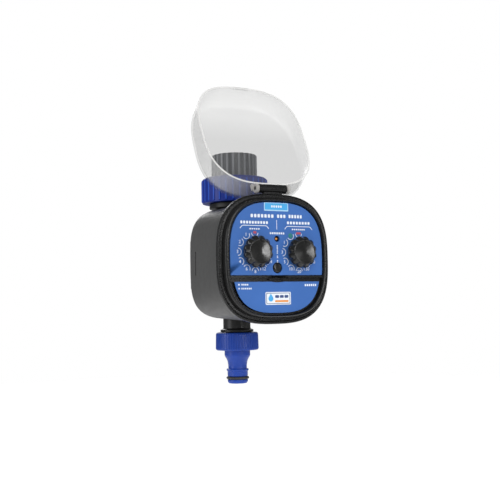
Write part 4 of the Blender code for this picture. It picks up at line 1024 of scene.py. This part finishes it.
def outlet_connector():
    """Knurled skirt, shouldered waist and spigot of a hose connector."""
    top, end = SPIGOT_HIGH.z, SPIGOT_LOW.z
    skirt = [(13.4, top, 0), (14.2, top, 0), (14.9, top - 0.5, 0.3), (15.1, top - 1.4, 1),
             (15.35, -141.2, 1), (15.3, -141.9, 0.2), (14.9, -142.4, 0)]
    waist = [(9.3, -142.5, 0), (9.3, -146.2, 0), (8.9, -147.2, 0), (7.8, -149.0, 0), (7.1, -151.0, 0),
             (6.75, -153.4, 0), (6.7, -155.7, 0)]
    spigot = [(8.0, -156.1, 0), (8.0, -157.1, 0), (7.35, -157.7, 0), (7.35, -161.2, 0), (6.5, -161.3, 0),
              (6.5, -163.6, 0), (7.35, -163.7, 0), (7.35, -165.1, 0), (6.6, end, 0), (4.6, end, 0),
              (4.6, -141.0, 0), (13.4, -141.0, 0)]
    shape = rounded(skirt + waist + spigot, 0.35, 3, closed=True)
    body = spun(shape, 672, closed=True, ribs=ridge(56, 0.28, 0.42, 5.0))
    dress(solid("hose_connector", body), "fitting_blue", "case", "fitting_blue", "outlet_connector")
    seal = circle(0.95, (7.3, centre("connector_seal").z), 20)
    ring_bm = spun([(r, z, 0) for r, z in reversed(seal)], ROUND, closed=True)
    dress(solid("spigot_o_ring", ring_bm), "seal_rubber", "case", "seal_rubber", "connector_seal")


# ---- CAD nodes that stay ----------------------------------------------------

KEPT = {
    "steel": ["case_screw_1", "case_screw_2", "case_screw_3", "case_screw_4", "contact_plate_back",
              "contact_plate_front", "contact_spring_back", "contact_spring_front", "duration_potentiometer",
              "frequency_potentiometer", "first_gear_axle", "second_gear_axle", "gearbox_screw_1",
              "gearbox_screw_2", "inlet_strainer", "motor", "motor_shaft"],
    "brass": ["motor_pinion", "valve_stem"],
    "white_acetal": ["duration_shaft", "frequency_shaft", "switch_plunger", "led_spacer", "valve_ball",
                     "upper_seat", "lower_seat", "output_gear", "second_gear", "first_gear"],
    "seal_rubber": ["face_seal", "inlet_washer", "outlet_washer", "stem_seal", "tact_switch",
                    "controller_chip"],
    "body_black": ["battery_tray", "gearbox_base", "hinge_pin"],
    "case_grey": ["gearbox_cover"],
    "board_green": ["circuit_board"],
    "battery_wrap": ["battery_front", "battery_back", "supply_capacitor"],
}


def dress_kept_nodes():
    for look, names in KEPT.items():
        for name in names:
            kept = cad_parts[name]
            for place in kept.material_slots:
                place.material = LOOKS[look]


# ---- studio -----------------------------------------------------------------

def floor():
    """A pale floor that fades into the background with distance."""
    low = cad_box[0].z - 0.03
    bm = bmesh.new()
    bmesh.ops.create_circle(bm, cap_ends=True, segments=96, radius=3.0)
    bmesh.ops.translate(bm, vec=(0, 0, low), verts=bm.verts)
    mesh = bpy.data.meshes.new("floor")
    bm.to_mesh(mesh)
    bm.free()
    ground = bpy.data.objects.new("floor", mesh)
    bpy.context.scene.collection.objects.link(ground)
    n = Nodes("floor_paint")
    n.link(n.tint(n.noise(8.0), (0.86, 0.86, 0.86), (0.9, 0.9, 0.9)), n.shader.inputs["Base Color"])
    n.set(Roughness=0.9, Emission_Color=(1, 1, 1, 1), Emission_Strength=0.45)
    reach = n.add("ShaderNodeVectorMath", operation="LENGTH")
    n.link(n.place, reach.inputs[0])
    n.link(n.spread(reach.outputs["Value"], 1, 0, 0.22, 0.5), n.shader.inputs["Alpha"])
    mesh.materials.append(n.material)


def backdrop():
    """White where the camera looks, and a softer sky for light and gloss."""
    world = bpy.data.worlds.new("studio")
    bpy.context.scene.world = world
    world.use_nodes = True
    tree = world.node_tree
    tree.nodes.clear()
    path = tree.nodes.new("ShaderNodeLightPath")
    white = tree.nodes.new("ShaderNodeBackground")
    white.inputs["Color"].default_value = (1, 1, 1, 1)
    soft = tree.nodes.new("ShaderNodeBackground")
    soft.inputs["Color"].default_value = (0.95, 0.97, 1.0, 1)
    soft.inputs["Strength"].default_value = 0.22
    mix = tree.nodes.new("ShaderNodeMixShader")
    out = tree.nodes.new("ShaderNodeOutputWorld")
    tree.links.new(path.outputs["Is Camera Ray"], mix.inputs["Fac"])
    tree.links.new(soft.outputs["Background"], mix.inputs[1])
    tree.links.new(white.outputs["Background"], mix.inputs[2])
    tree.links.new(mix.outputs["Shader"], out.inputs["Surface"])


def soft_light(name, place, power, size, tall=None):
    """A rectangular soft box that looks at the middle of the timer."""
    data = bpy.data.lights.new(name, "AREA")
    data.shape = "RECTANGLE"
    data.size = size
    data.size_y = tall or size
    data.energy = power
    lamp = bpy.data.objects.new(name, data)
    bpy.context.scene.collection.objects.link(lamp)
    lamp.location = place
    aim = Vector((0, -0.03, -0.08)) - Vector(place)
    lamp.rotation_mode = "QUATERNION"
    lamp.rotation_quaternion = aim.to_track_quat("-Z", "Y")


def studio():
    floor()
    backdrop()
    soft_light("key", (-0.3, -1.0, 0.42), 8.6, 0.9)
    soft_light("strip", (0.26, -0.95, -0.05), 1.3, 0.1, 0.3)
    soft_light("fill", (0.85, -0.6, 0.25), 1.6, 0.5)
    soft_light("side", (-0.9, 0.05, 0.0), 3.2, 0.35, 0.8)
    soft_light("back", (0.3, 0.8, 0.5), 6.0, 0.6)


def camera():
    """From the front left, a little below the dials and tipped up."""
    yaw, pitch, roll = math.radians(-28.375), math.radians(-3.321), math.radians(-1.041)
    forward = Vector((-math.sin(yaw) * math.cos(pitch), math.cos(yaw) * math.cos(pitch), -math.sin(pitch)))
    right = Vector((math.cos(yaw), math.sin(yaw), 0))
    up = right.cross(forward)
    tilted_right = math.cos(roll) * right + math.sin(roll) * up
    tilted_up = math.cos(roll) * up - math.sin(roll) * right
    data = bpy.data.cameras.new("camera")
    data.lens = 64.235
    data.sensor_width = 36.0
    data.clip_start = 0.01
    data.clip_end = 20.0
    eye = bpy.data.objects.new("camera", data)
    bpy.context.scene.collection.objects.link(eye)
    turn = Matrix((tilted_right, tilted_up, -forward)).transposed().to_4x4()
    eye.matrix_world = Matrix.Translation((-0.3009, -0.5793, -0.1077)) @ turn
    bpy.context.scene.camera = eye


# ---- build ------------------------------------------------------------------

rear_housing()
back_plate()
front_bezel()
screw_posts()
face_panel()
battery_door()
lid()
dial("frequency")
dial("duration")
button()
face_graphics()
door_graphics()
inlet_nut()
inlet_adaptor()
valve_body()
outlet_tailpiece()
outlet_connector()
dress_kept_nodes()
studio()
camera()
bpy.context.scene.view_settings.view_transform = "Standard"
